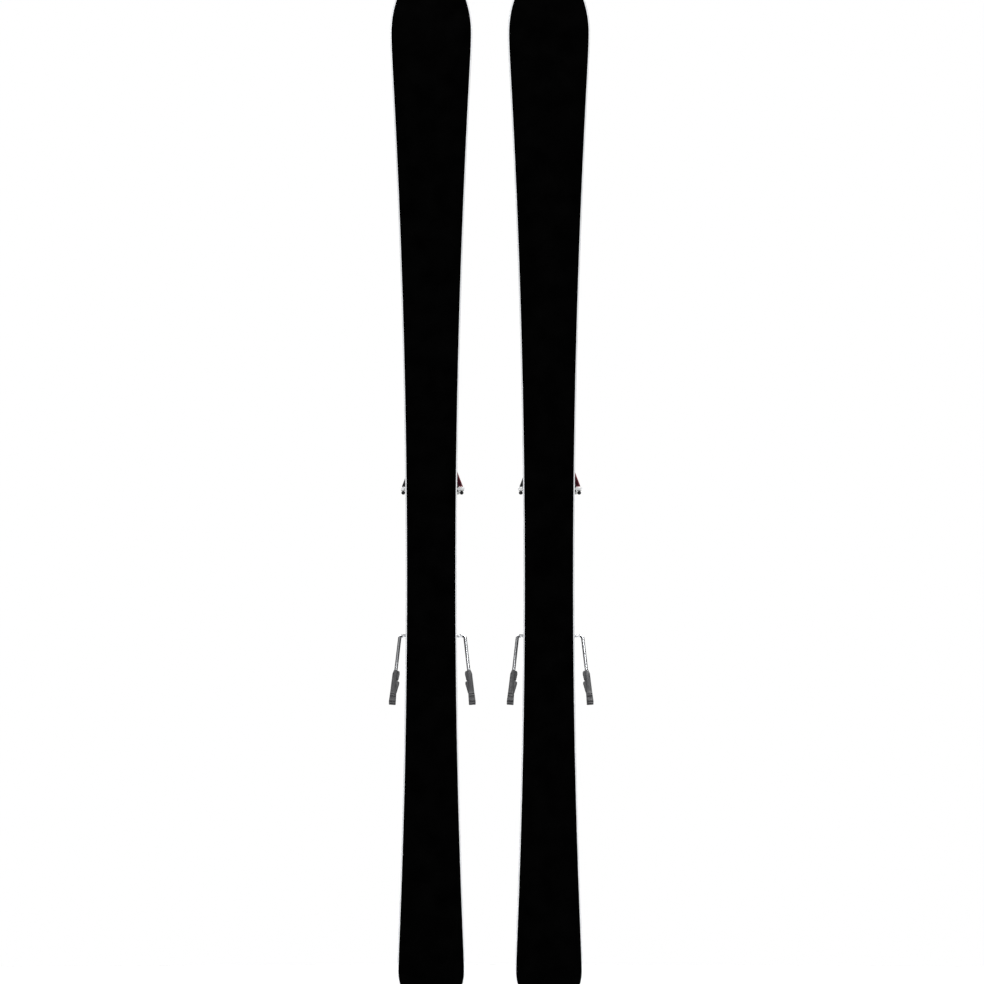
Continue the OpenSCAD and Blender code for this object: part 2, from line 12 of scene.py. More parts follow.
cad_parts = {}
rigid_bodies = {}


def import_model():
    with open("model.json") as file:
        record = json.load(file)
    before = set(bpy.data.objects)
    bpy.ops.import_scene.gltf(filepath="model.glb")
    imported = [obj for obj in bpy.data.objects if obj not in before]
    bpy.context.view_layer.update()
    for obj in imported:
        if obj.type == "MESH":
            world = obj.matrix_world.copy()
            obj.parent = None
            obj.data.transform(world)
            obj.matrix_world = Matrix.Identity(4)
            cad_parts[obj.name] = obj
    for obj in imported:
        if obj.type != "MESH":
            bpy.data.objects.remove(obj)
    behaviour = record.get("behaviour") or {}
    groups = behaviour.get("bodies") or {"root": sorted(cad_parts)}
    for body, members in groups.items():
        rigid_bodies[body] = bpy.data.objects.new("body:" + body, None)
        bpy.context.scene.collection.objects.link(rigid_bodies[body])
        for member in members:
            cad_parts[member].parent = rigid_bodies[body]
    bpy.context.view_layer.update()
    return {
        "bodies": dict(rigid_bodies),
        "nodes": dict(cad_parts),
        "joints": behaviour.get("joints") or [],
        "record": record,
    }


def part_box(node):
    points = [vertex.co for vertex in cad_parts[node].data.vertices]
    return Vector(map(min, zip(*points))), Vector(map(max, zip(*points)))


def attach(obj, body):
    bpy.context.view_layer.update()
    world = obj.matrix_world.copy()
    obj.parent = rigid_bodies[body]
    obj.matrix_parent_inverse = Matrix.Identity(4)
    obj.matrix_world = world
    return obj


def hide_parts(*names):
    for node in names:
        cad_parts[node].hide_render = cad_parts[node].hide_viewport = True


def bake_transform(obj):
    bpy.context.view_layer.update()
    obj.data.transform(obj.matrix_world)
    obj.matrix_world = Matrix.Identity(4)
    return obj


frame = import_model()

# ---- frames and sizes

SIDES = ("left", "right")
SOLE = 46.0
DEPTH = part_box("left_glide_plate")[1].y * 1000 - SOLE


def stand_up(node):
    """The matrix that stands a side's own frame up, centred on that side's node."""
    frames = {}
    for s in SIDES:
        low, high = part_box(f"{s}_{node}")
        middle = (low.x + high.x) / 2
        rows = (-0.001, 0, 0, middle), (0, 0, 0.001, DEPTH / 1000), (0, 0.001, 0, 0), (0, 0, 0, 1)
        frames[s] = Matrix(rows)
    return frames


ON_SKI = stand_up("base")
ON_BINDING = stand_up("glide_plate")
JOINTS = {j["name"]: j for j in frame["record"]["behaviour"]["joints"]}


def pivot(joint):
    return ON_BINDING["left"].inverted() @ Vector(JOINTS["left_" + joint]["pos_m"])


WING, BRAKE, LOCK = pivot("black_wing_hinge"), pivot("brake_hinge"), pivot("lock_lever_hinge")
HEEL_PIVOT, LEVER = pivot("heel_hinge"), pivot("heel_lever_hinge")
TOE, HEEL = WING.y - 29, HEEL_PIVOT.y + 51
TOE_AXIS, HEEL_AXIS = pivot("toe_screw_turn").z, pivot("heel_screw_turn").z
WING_LOW, WING_HIGH = 50.0, 71.5

LENGTH, WAIST_Y, WAIST, CAMBER = 1554.0, 630.0, 76.4, 4.0
SHOVEL, TAIL = 123.6, 102.6
FRONT_R, REAR_R = 13700.0, 12700.0
NOSE, TAIL_ROUND, TAIL_WIDE, GUARD = 105.0, 64.0, 44.6, 14.0
EDGE_W, EDGE_TOP = 1.8, 2.05
SKI_TOP = CAMBER + 17.0
RAIL_TOP, BASE_TOP = SKI_TOP + 8.5, SKI_TOP + 16
PIN_HOLE, THREAD_PITCH = 2.56, 1.5
SCREWS = [(x, y) for y in (366, 590, 692, 894) for x in (-22, 22)]


def ease(t):
    return (1 - math.cos(math.pi * min(max(t, 0.0), 1.0))) / 2


def base_z(y):
    arch = ease((y - 50) / 285) * (1 - ease((y - 915) / 455))
    tip = max((y - 1340) / (LENGTH - 1340), 0) ** 2.3
    tail = max((50 - y) / 50, 0) ** 2
    return CAMBER * arch + 52 * tip + 4 * tail


def thickness(y):
    if y < WAIST_Y:
        return 7 + 10 * ease(y / 335)
    return 17 - 11 * ease((y - 915) / 505)


def half_width(y, inset):
    radius = FRONT_R if y > WAIST_Y else REAR_R
    side = WAIST / 2 + (y - WAIST_Y) ** 2 / (2 * radius) - inset
    if y > WAIST_Y:
        along, w, length = y - (LENGTH - NOSE), SHOVEL / 2 - inset, NOSE - inset
    else:
        along, w, length = TAIL_WIDE - y, TAIL / 2 - inset, TAIL_ROUND - inset
    end = w * math.sqrt(max(0, 1 - (max(along, 0) / length) ** 2))
    return (side + end - math.sqrt((side - end) ** 2 + 1)) / 2


def places(inset):
    """Stations along the ski, from the tail guard to the tip."""
    nose = LENGTH - NOSE
    tail = [GUARD + (TAIL_WIDE + 16 - GUARD) * i / 14 for i in range(14)]
    middle = list(np.linspace(TAIL_WIDE + 16, nose - 10, 170))
    tip = [nose + (NOSE - inset) * math.sin(math.radians(a)) for a in range(0, 90, 3)]
    return tail + middle + tip


def rim(inset):
    """Points (x, y) of the outline, from the tail up the +x side, round the tip and down the other side."""
    side = [(max(half_width(y, inset), 0.0), y) for y in places(inset)]
    return side + [(0.0, LENGTH - inset)] + [(-x, y) for x, y in reversed(side)]


def flowing(knots):
    """A smooth curve through (place, value) knots that doesn't overshoot."""
    xs, ys = [k[0] for k in knots], [k[1] for k in knots]
    steps = [(ys[i + 1] - ys[i]) / (xs[i + 1] - xs[i]) for i in range(len(xs) - 1)]
    inner = [0 if a * b <= 0 else 2 * a * b / (a + b) for a, b in zip(steps, steps[1:])]
    slopes = [steps[0]] + inner + [steps[-1]]

    def at(x):
        i = max(0, min(len(xs) - 2, sum(1 for v in xs if v <= x) - 1))
        h = xs[i + 1] - xs[i]
        t = min(max((x - xs[i]) / h, 0), 1)
        a, b = (1 + 2 * t) * (1 - t) ** 2, t * t * (3 - 2 * t)
        c, d = t * (1 - t) ** 2, t * t * (t - 1)
        return a * ys[i] + b * ys[i + 1] + h * (c * slopes[i] + d * slopes[i + 1])

    return at


# ---- mesh tools


def new_object(name, data):
    ob = bpy.data.objects.new(name, data)
    bpy.context.scene.collection.objects.link(ob)
    return ob


def mesh_of(verts, faces, angle):
    me = bpy.data.meshes.new("shape")
    me.from_pydata([tuple(v) for v in verts], [], [tuple(f) for f in faces])
    bm = bmesh.new()
    bm.from_mesh(me)
    bmesh.ops.remove_doubles(bm, verts=bm.verts, dist=1e-4)
    bmesh.ops.dissolve_degenerate(bm, dist=1e-5, edges=bm.edges)
    bmesh.ops.recalc_face_normals(bm, faces=bm.faces)
    bm.to_mesh(me)
    bm.free()
    shade(me, angle)
    return me


def shade(me, angle=35):
    me.polygons.foreach_set("use_smooth", [True] * len(me.polygons))
    me.set_sharp_from_angle(angle=math.radians(angle))


def moved(me, matrix):
    copy = me.copy()
    copy.transform(matrix)
    if matrix.determinant() < 0:
        copy.flip_normals()
    return copy


def mirrored(me):
    return moved(me, Matrix.Scale(-1, 4, (1, 0, 0)))


def joined(meshes):
    bm = bmesh.new()
    for me in meshes:
        bm.from_mesh(me)
    out = meshes[0].copy()
    bm.to_mesh(out)
    bm.free()
    return out


def with_modifiers(me, add, tools=()):
    """A copy of me with the modifiers that add(object, tool objects) makes applied."""
    work = new_object("work", me.copy())
    helpers = [new_object("tool", t) for t in tools]
    add(work, helpers)
    graph = bpy.context.evaluated_depsgraph_get()
    graph.update()
    out = bpy.data.meshes.new_from_object(work.evaluated_get(graph), depsgraph=graph)
    for ob in [work] + helpers:
        bpy.data.objects.remove(ob)
    return out


def solid(operation, me, tools):
    def add(ob, helpers):
        for h in helpers:
            m = ob.modifiers.new("join", "BOOLEAN")
            m.operation, m.solver, m.object = operation, "EXACT", h

    out = with_modifiers(me, add, tools)
    bm = bmesh.new()
    bm.from_mesh(out)
    bmesh.ops.remove_doubles(bm, verts=bm.verts, dist=0.002)
    bmesh.ops.dissolve_limit(bm, angle_limit=math.radians(0.6), verts=bm.verts, edges=bm.edges)
    bm.to_mesh(out)
    bm.free()
    shade(out)
    return out


def cut(me, *tools):
    return solid("DIFFERENCE", me, tools)


def fused(me, *tools):
    return solid("UNION", me, tools)


def bevelled(me, width, segments):
    """Rounded edges with flat faces kept flat."""

    def add(ob, _):
        m = ob.modifiers.new("bevel", "BEVEL")
        m.width, m.segments, m.limit_method = width, segments, "ANGLE"
        m.angle_limit = math.radians(32)
        m.miter_outer = "MITER_ARC"
        m.use_clamp_overlap = True
        m.harden_normals = True

    return with_modifiers(me, add)


def loft(rings, angle=35):
    """A closed mesh through rings of points, with a face on each end."""
    n, count = len(rings[0]), len(rings)
    verts = [p for ring in rings for p in ring]
    faces = []
    for a in range(0, (count - 1) * n, n):
        b = a + n
        faces += [(a + k, a + (k + 1) % n, b + (k + 1) % n, b + k) for k in range(n)]
    faces += [tuple(range(n - 1, -1, -1)), tuple((count - 1) * n + k for k in range(n))]
    return mesh_of(verts, faces, angle)


def full_turn(sides):
    return [2 * math.pi * k / sides for k in range(sides)]


def tube(path, radius, sides):
    """A round bar along a list of points."""
    pts = [Vector(p) for p in path]
    tangent = (pts[1] - pts[0]).normalized()
    up = Vector((0, 0, 1)) if abs(tangent.z) < 0.9 else Vector((1, 0, 0))
    normal = tangent.cross(up).normalized()
    rings = []
    for i, p in enumerate(pts):
        t = (pts[min(i + 1, len(pts) - 1)] - pts[max(i - 1, 0)]).normalized()
        normal = (normal - t * normal.dot(t)).normalized()
        other = t.cross(normal)
        rings.append([p + (normal * math.cos(a) + other * math.sin(a)) * radius for a in full_turn(sides)])
    return loft(rings, 50)


def rounded_path(corners, radius, steps=10):
    """The route of a bar with these corners, each bent round an arc."""
    pts = [Vector(c) for c in corners]
    out = [pts[0]]
    for a, b, c in zip(pts, pts[1:], pts[2:]):
        u, v = (a - b).normalized(), (c - b).normalized()
        half = u.angle(v) / 2
        centre = b + (u + v).normalized() * radius / math.sin(half)
        start, end = b + u * radius / math.tan(half) - centre, b + v * radius / math.tan(half) - centre
        out += [centre + start.slerp(end, i / steps) * radius for i in range(steps + 1)]
    return out + [pts[-1]]


def prism(outline, axis, low, high):
    """An outline in the two other axes' coordinates, taken in x, y, z order, between two planes."""
    at = "xyz".index(axis)
    rings = [[[*p[:at], level, *p[at:]] for p in outline] for level in (low, high)]
    return loft(rings)


def block(x, y, z):
    return prism(box_outline(x, y), "z", z[0], z[1])


def disc(r, axis, low, high, at=(0, 0), sides=48):
    outline = [(at[0] + r * math.cos(a), at[1] + r * math.sin(a)) for a in full_turn(sides)]
    return prism(outline, axis, low, high)


def box_outline(x, y):
    return [(x[0], y[0]), (x[1], y[0]), (x[1], y[1]), (x[0], y[1])]


def from_toe(points):
    return [(x, TOE + y) for x, y in points]


def soft_outline(points, radius, steps=5):
    """The outline with each corner rounded; radius is one number or one for each corner."""
    n = len(points)
    radii = radius if hasattr(radius, "__len__") else [radius] * n
    out = []
    for i, r in enumerate(radii):
        a, b, c = (Vector(points[(i + d) % n]) for d in (-1, 0, 1))
        if r <= 0:
            out.append(tuple(b))
            continue
        u, v = (a - b).normalized(), (c - b).normalized()
        half = u.angle(v) / 2
        reach = min(r / math.tan(half), (a - b).length * 0.49, (c - b).length * 0.49)
        r = reach * math.tan(half)
        centre = b + (u + v).normalized() * r / math.sin(half)
        start, end = b + u * reach - centre, b + v * reach - centre
        sweep = start.angle_signed(end)
        for k in range(steps + 1):
            turn = -sweep * k / steps
            x = start.x * math.cos(turn) - start.y * math.sin(turn)
            y = start.x * math.sin(turn) + start.y * math.cos(turn)
            out.append((centre.x + x, centre.y + y))
    return out


def turned(profile, axis_z, thread=None):
    """A part turned about a line along y, from (y, radius) points; thread is (start, end, pitch, depth)."""
    sides = 32
    rings = []
    for y, r in profile:
        ring = []
        for k in range(sides):
            a = 2 * math.pi * k / sides
            grow = 0.0
            if thread and thread[0] < y < thread[1]:
                grow = thread[3] * abs(((y / thread[2] - k / sides) % 1) * 2 - 1)
            ring.append(((r - grow) * math.cos(a), y, axis_z + (r - grow) * math.sin(a)))
        rings.append(ring)
    return loft(rings, 40)


def band(profile):
    """A closed profile of (inset, height function) points carried round the ski's outline."""
    rims = [rim(inset) for inset, _ in profile]
    rings = []
    for i in range(len(rims[0])):
        ring = []
        for k, (_, height) in enumerate(profile):
            x, y = rims[k][i]
            ring.append((x, y, base_z(y) + height(y)))
        rings.append(ring)
    return loft(rings)


def strip(inset, low, high, columns):
    """A slab inside the outline; low and high give heights above the base at (y, distance to the rim)."""
    shares = [math.sin(math.radians(a)) for a in np.linspace(-90, 90, columns)]
    rings = []
    for y in places(inset) + [LENGTH - inset - 0.01]:
        w = max(half_width(y, inset), 0.02)
        under = [(u * w, y, base_z(y) + low(y, w - abs(u * w))) for u in shares]
        over = [(u * w, y, base_z(y) + high(y, w - abs(u * w))) for u in reversed(shares)]
        rings.append(under + over)
    return loft(rings, 40)


# ---- placing


def add_object(name, me, body, nodes, materials):
    ob = new_object(name, me)
    me.materials.clear()
    for m in materials:
        me.materials.append(m)
    if body:
        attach(ob, body)
    if nodes:
        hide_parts(*nodes)
    return ob


def stood_up(me, frame):
    """A copy in the row frame that keeps each point's place on the ski, in metres, for its patterns."""
    me = me.copy()
    co = np.empty(len(me.vertices) * 3, np.float32)
    me.vertices.foreach_get("co", co)
    layer = me.attributes.new("ski", "FLOAT_VECTOR", "POINT")
    layer.data.foreach_set("vector", co / 1000)
    me.transform(frame)
    return me


def place(name, me, body, slot, nodes, *materials, frames=ON_BINDING):
    """One piece on each side. In body and nodes a star stands for the side's name."""
    made = []
    for s in SIDES:
        copy = stood_up(me, frames[s])
        names = [n.replace("*", s) for n in nodes]
        made.append(add_object(f"{s}_{name}", copy, body.replace("*", s), names, materials))
    return made


def place_spring(name, me, node, stations, z):
    """A spring along the ski in two halves, cut at the middle of three stations; neither half is put on a
    body.
    """
    reach = 25
    for half in (0, 1):
        y0, y1 = stations[0] - 5 if half else stations[1], stations[1] if half else stations[2] + 5
        kept = cut(me.copy(), block((-reach, reach), (y0, y1), (z - reach, z + reach)))
        label = name + ("_end" if half else "")
        pieces = place(label, kept, "", "spring_steel", [node], M["spring"])
        for s, piece in zip(SIDES, pieces):
            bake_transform(piece)


def place_both(name, me, slot, nodes, *materials, frames=ON_SKI):
    """One object that holds the piece on both sides, riding the skis."""
    both = joined([stood_up(me, frames[s]) for s in SIDES])
    shade(both, 35)
    return add_object(name, both, "skis", nodes, materials)


# ---- materials


def set_stops(ramp, stops):
    elements = ramp.color_ramp.elements
    while len(elements) < len(stops):
        elements.new(0.5)
    for e, (at, c) in zip(elements, stops):
        e.position, e.color = at, (*c, 1) if hasattr(c, "__len__") else (c, c, c, 1)


class Nodes:
    """A material's node tree with short calls for the nodes used here."""

    def __init__(self, name):
        self.mat = bpy.data.materials.new(name)
        self.mat.use_nodes = True
        self.tree = self.mat.node_tree
        self.bsdf = self.tree.nodes["Principled BSDF"]
        self.coord = self.add("ShaderNodeTexCoord").outputs["Object"]

    def add(self, kind, **inputs):
        n = self.tree.nodes.new(kind)
        for k, v in inputs.items():
            self.set(n.inputs[k.replace("_", " ")], v)
        return n

    def set(self, socket, value):
        if isinstance(value, bpy.types.NodeSocket):
            self.tree.links.new(value, socket)
        else:
            socket.default_value = value

    def noise(self, scale, detail, stretch=(1, 1, 1), coord=None):
        mapping = self.add("ShaderNodeMapping")
        self.set(mapping.inputs["Vector"], coord or self.coord)
        mapping.inputs["Scale"].default_value = stretch
        n = self.add("ShaderNodeTexNoise")
        self.set(n.inputs["Vector"], mapping.outputs["Vector"])
        n.inputs["Scale"].default_value = scale
        n.inputs["Detail"].default_value = detail
        return n.outputs["Fac"]

    def ramp(self, fac, *stops):
        n = self.add("ShaderNodeValToRGB")
        self.set(n.inputs["Fac"], fac)
        set_stops(n, stops)
        return n.outputs["Color"]

    def math(self, op, a, b=0.0, c=0.0):
        n = self.add("ShaderNodeMath")
        n.operation = op
        for i, v in enumerate((a, b, c)):
            self.set(n.inputs[i], v)
        return n.outputs[0]

    def within(self, value, low, high):
        """1 where value lies between low and high, with soft ends."""
        soft, ends = 0.0003, []
        for gap in (self.math("SUBTRACT", value, low), self.math("SUBTRACT", high, value)):
            rise = self.math("SMOOTH_MIN", self.math("DIVIDE", gap, soft), 1.0, 0.1)
            ends.append(self.math("MAXIMUM", rise, 0.0))
        return self.math("MULTIPLY", *ends)

    def mix(self, fac, a, b):
        n = self.add("ShaderNodeMix")
        n.data_type = "RGBA"
        self.set(n.inputs["Factor"], fac)
        for socket, v in ((n.inputs[6], a), (n.inputs[7], b)):
            self.set(socket, (*v, 1) if isinstance(v, tuple) and len(v) == 3 else v)
        return n.outputs[2]

    def ski_axes(self):
        """The stored place in the ski's own frame, in metres: across, along, up."""
        stored = self.add("ShaderNodeAttribute")
        stored.attribute_name = "ski"
        parts = self.add("ShaderNodeSeparateXYZ")
        self.set(parts.inputs[0], stored.outputs["Vector"])
        return parts.outputs[0], parts.outputs[1], stored.outputs["Vector"]

    def bump(self, height, strength, distance):
        n = self.add("ShaderNodeBump")
        self.set(n.inputs["Height"], height)
        n.inputs["Strength"].default_value = strength
        n.inputs["Distance"].default_value = distance
        self.set(self.bsdf.inputs["Normal"], n.outputs["Normal"])

    def out(self, **inputs):
        for k, v in inputs.items():
            if isinstance(v, tuple) and len(v) == 3:
                v = (*v, 1)
            self.set(self.bsdf.inputs[k.replace("_", " ")], v)
        return self.mat


def scaled(colour, k, lift=0.0):
    return tuple(min(1.0, c * k + lift) for c in colour)


def plastic(name, colour, rough=0.4, grain=2500, depth=0.00006, spec=0.5, vary=0.12, rub=0.0, coat=0.0):
    """Moulded plastic: fine grain, slight mottling, hairline scratches, and edges rubbed a little paler."""
    n = Nodes(name)
    tone = n.ramp(n.noise(35, 3), (0.3, scaled(colour, 1 - vary)), (0.7, scaled(colour, 1 + vary)))
    hair = n.ramp(n.noise(420, 3, (1, 1, 0.12)), (0.60, 0.0), (0.72, 1.0))
    if rub:
        worn = n.add("ShaderNodeNewGeometry").outputs["Pointiness"]
        edge = n.ramp(worn, (0.52, 0.0), (0.60, 1.0))
        patch = n.ramp(n.noise(260, 5, (1, 1, 0.35)), (0.42, 0.0), (0.62, 1.0))
        amount = n.math("MULTIPLY", n.math("MULTIPLY", edge, patch), rub)
        tone = n.mix(amount, tone, scaled(colour, 2, 0.12))
        tone = n.mix(n.math("MULTIPLY", hair, rub * 0.25), tone, scaled(colour, 1.6, 0.05))
    gloss = n.math("MULTIPLY_ADD", n.noise(90, 4), 0.18, rough - 0.09)
    roughness = n.math("MULTIPLY_ADD", hair, 0.08, gloss)
    n.bump(n.noise(grain, 2), 0.6, depth)
    return n.out(Base_Color=tone, Roughness=roughness, Specular_IOR_Level=spec, Coat_Weight=coat)


def metal(name, colour, rough=0.3, stretch=(1, 1, 1), scale=900, depth=0.00003, vary=0.12):
    """Brushed or drawn metal with streaks along the long side of stretch, dulled in patches."""
    n = Nodes(name)
    streak = n.noise(scale, 4, stretch)
    cloud = n.noise(25, 3)
    tone = n.ramp(streak, (0.3, scaled(colour, 1 - vary)), (0.7, scaled(colour, 1 + vary)))
    tone = n.mix(n.math("MULTIPLY", cloud, 0.25), tone, scaled(colour, 0.75))
    roughness = n.math("MULTIPLY_ADD", streak, 0.22, rough - 0.08)
    n.bump(streak, 0.5, depth)
    return n.out(Base_Color=tone, Roughness=roughness, Metallic=1.0)


def running_base():
    """Sintered base, stone-ground: black, with fine crossed grooves that only glancing light shows."""
    n = Nodes("base_black")
    grooves = [n.noise(900, 2, (1, 1, 0.02)), n.noise(700, 2, (0.6, 1, 0.05))]
    lines = n.math("ADD", *grooves)
    tone = n.ramp(n.noise(30, 4), (0.3, 0.0003), (0.7, 0.0008))
    sheen = n.add("ShaderNodeLayerWeight", Blend=0.5).outputs["Facing"]
    gloss = n.ramp(sheen, (0.25, 0.0), (0.85, 0.45))
    n.bump(lines, 0.25, 0.00003)
    roughness = n.math("MULTIPLY_ADD", lines, 0.12, 0.36)
    return n.out(Base_Color=tone, Roughness=roughness, Specular_IOR_Level=gloss)


def laminate():
    """Core seen between the layers: thin laminations of wood."""
    n = Nodes("core_wood")
    stored = n.ski_axes()[2]
    grain = n.noise(60, 6, (6, 0.4, 6), coord=stored)
    tone = n.ramp(grain, (0.3, (0.42, 0.27, 0.14)), (0.7, (0.66, 0.47, 0.27)))
    n.bump(grain, 0.3, 0.0001)
    return n.out(Base_Color=tone, Roughness=0.65)


def top_film():
    """Printed top sheet under a clear gloss film: woven ground, slanted blocks and thin pale slanted lines,
    and a thin pale line down the middle.
    """
    n = Nodes("sheet_print")
    across, along, stored = n.ski_axes()
    side = n.math("ABSOLUTE", across)
    weave_a = n.math("SINE", n.math("MULTIPLY", n.math("ADD", across, along), 2600))
    weave_b = n.math("SINE", n.math("MULTIPLY", n.math("SUBTRACT", across, along), 2600))
    weave = n.math("MULTIPLY", weave_a, weave_b)
    ground = n.ramp(weave, (0.35, (0.0075, 0.0078, 0.009)), (0.65, (0.013, 0.0135, 0.015)))
    cloud = n.noise(14, 4, coord=stored)
    ground = n.mix(n.math("MULTIPLY", cloud, 0.4), ground, (0.02, 0.021, 0.024))
    slant = n.math("SUBTRACT", along, n.math("MULTIPLY", side, 1.4))
    for low, high, colour in SHEET_BLOCKS:
        ground = n.mix(n.within(slant, low, high), ground, colour)
    centre = n.math("MULTIPLY", n.within(side, -0.01, 0.0013), n.within(along, 0.93, 1.22))
    ground = n.mix(centre, ground, (0.33, 0.34, 0.36))
    scratch = n.ramp(n.noise(300, 3, (1, 0.05, 1), coord=stored), (0.66, 0.0), (0.74, 1.0))
    ground = n.mix(n.math("MULTIPLY", scratch, 0.05), ground, (0.4, 0.4, 0.42))
    n.bump(n.math("MULTIPLY_ADD", weave, 0.3, n.noise(500, 3, coord=stored)), 0.15, 0.00003)
    roughness = n.math("MULTIPLY_ADD", scratch, 0.2, n.math("MULTIPLY_ADD", cloud, 0.1, 0.2))
    return n.out(Base_Color=ground, Roughness=roughness, Coat_Weight=0.35, Coat_Roughness=0.08)


PALE, DEEP_RED, SLATE = (0.42, 0.43, 0.45), (0.27, 0.008, 0.02), (0.055, 0.057, 0.062)
# Slanted blocks on the top sheet: start and end along the ski in metres, and colour
SHEET_BLOCKS = [
    (0.060, 0.115, DEEP_RED), (0.119, 0.123, PALE), (0.150, 0.168, SLATE), (0.176, 0.186, SLATE),
    (0.960, 0.985, SLATE), (0.995, 1.005, SLATE), (1.225, 1.229, PALE), (1.233, 1.330, DEEP_RED),
    (1.336, 1.340, PALE), (1.350, 1.375, SLATE),
]

M = {
    "base": running_base(),
    "edge": metal("edge_steel", (0.74, 0.75, 0.77), 0.3, (1, 1, 0.03), 1500),
    "wall": plastic("sidewall_black", (0.022, 0.022, 0.024), 0.5, 1500, 0.00004, vary=0.2),
    "sheet": top_film(),
    "core": laminate(),
    "guard": plastic("guard_plastic", (0.022, 0.022, 0.024), 0.45, 1800, 0.00005, rub=0.4),
    "dark": plastic("dark_plastic", (0.020, 0.020, 0.022), 0.5, 2200, 0.00008, rub=0.25),
    "black": plastic("black_plastic", (0.008, 0.008, 0.009), 0.32, 2600, 0.00003, rub=0.15),
    "rubber": plastic("roller_black", (0.006, 0.006, 0.006), 0.6, 3200, 0.0001, 0.3),
    "housing": plastic("housing_plastic", (0.012, 0.012, 0.0135), 0.3, 2600, 0.00003, rub=0.15, coat=0.15),
    "red": plastic("red_plastic", (0.26, 0.004, 0.022), 0.26, 2600, 0.00002, rub=0.1, coat=0.3),
    # Darker copy of the red plastic: painted shade for the hollow under the red wing's arm
    "red_painted_shade": plastic("red_painted_shade_plastic", (0.085, 0.002, 0.016), 0.6, 2600, 0.00003, 0.2),
    "grey": plastic("grey_plastic", (0.27, 0.28, 0.29), 0.4, 2200, 0.00004, rub=0.15),
    "foot": plastic("foot_plastic", (0.030, 0.030, 0.032), 0.55, 2200, 0.00008, 0.35, rub=0.2),
    "steel": metal("plain_steel", (0.58, 0.59, 0.61), 0.3),
    "silver": metal("cast_silver", (0.86, 0.87, 0.88), 0.34, (1, 1, 1), 1600, 0.00002, 0.06),
    "wire": metal("wire_steel", (0.66, 0.67, 0.69), 0.2, (1, 1, 1), 2000, 0.00001, 0.06),
    "spring": metal("spring_steel", (0.30, 0.31, 0.33), 0.35),
    "lever": metal("lever_metal", (0.42, 0.43, 0.45), 0.38),
    "brass": metal("brass", (0.72, 0.55, 0.25), 0.3),
    "jaw": plastic("jaw_pale", (0.62, 0.62, 0.61), 0.35, 2200, 0.00003, rub=0.1),
    "mark": plastic("mark_white", (0.62, 0.62, 0.60), 0.5, 2200, 0.00003, vary=0.08),
}
# The look of each material slot that isn't named by the slot's first word
SLOT_LOOK = {
    "ski_base": "base", "wood_core": "core", "top_sheet": "sheet", "edge_steel": "edge", "sidewall": "wall",
}

# ---- ski


def level(value):
    return lambda y: value


def facet(y, edge):
    """How far the top drops towards the ski's edges."""
    binding = ease((y - 270) / 60) * (1 - ease((y - 920) / 60))
    reach = 20 - 13.5 * binding
    deep = 3.2 * ease((y - 30) / 150) * (1 - ease((y - 1180) / 260)) * (1 - 0.45 * binding)
    return deep * (1 - ease(edge / reach))


def wall_top(y):
    return thickness(y) - 1.15 - facet(y, 1.2)


def build_ski():
    running = strip(EDGE_W, lambda y, e: 0, lambda y, e: 1.3, 13)
    place("base_look", running, "skis", "ski_base", ["*_base"], M["base"], frames=ON_SKI)
    steel = [(0.25, 0), (0.05, 0.2), (0, EDGE_TOP), (EDGE_W, EDGE_TOP), (EDGE_W, 0)]
    steel = [(inset, level(z)) for inset, z in steel]
    place_both("edges_look", band(steel), "edge_steel", ["steel_edges"], M["edge"])
    wall = [(0.05, level(EDGE_TOP)), (0.9, wall_top), (6, wall_top), (6, level(EDGE_TOP))]
    place_both("walls_look", band(wall), "sidewall", ["sidewalls"], M["wall"])
    filling = strip(6.0, lambda y, e: 1.3, lambda y, e: thickness(y) - 1.3 - facet(y, e + 6), 15)
    place_both("cores_look", filling, "wood_core", ["cores"], M["core"])
    sheet = strip(
        0.8,
        lambda y, e: thickness(y) - 1.15 - facet(y, e + 0.8),
        lambda y, e: thickness(y) - facet(y, e + 0.8) - 0.5 * (1 - min(e / 1.2, 1)) ** 2,
        41,
    )
    place("sheet_look", sheet, "skis", "top_sheet", ["*_top_sheet"], M["sheet"], frames=ON_SKI)


build_ski()

# ---- toe piece


def section(y, half, low, high, top_r):
    """A ring across the ski at y with rounded corners."""
    corners = [(half, low), (half, high), (-half, high), (-half, low)]
    return [(x, y, z) for x, z in soft_outline(corners, [0.8, top_r, top_r, 0.8])]


# Toe housing: half width, height and top rounding along it, from the boot side
HOUSING_HALF = flowing([(3, 12), (8, 22), (19, 27.5), (35, 29), (59, 28), (84, 25.5), (104, 21), (113, 14.5)])
HOUSING_TOP = flowing(
    [(3, 38.5), (6, 43.6), (14, 46.6), (34, 47), (64, 43), (91, 34.5), (109, 21), (113, 15)]
)
HOUSING_ROUND = flowing([(3, 5), (14, 9), (64, 10), (104, 8), (113, 4)])
HOUSING_STOPS = [3, 3.5, 4.5, 6, 8, 11, 14, 19, 25, 31, 37, 44, 52, 60, 68, 76, 84, 91, 97, 103]
HOUSING_STOPS += [107, 110, 112, 113]


def housing_shell(inset=0.0):
    rings = []
    for at in HOUSING_STOPS:
        y = TOE + min(max(at, 3 + inset), 113 - inset)
        high = BASE_TOP + HOUSING_TOP(at) - inset
        rings.append(section(y, HOUSING_HALF(at) - inset, BASE_TOP, high, HOUSING_ROUND(at)))
    return loft(rings)


def top_slope(low, high, x, lift):
    """A slab lying on the housing's top between two places along it."""
    z = [BASE_TOP + HOUSING_TOP(low), BASE_TOP + HOUSING_TOP(high)]
    near = [(TOE + low, z[0] - 1.5), (TOE + low, z[0] + lift)]
    far = [(TOE + high, z[1] + lift), (TOE + high, z[1] - 1.5)]
    return prism(near + far, "x", *x)


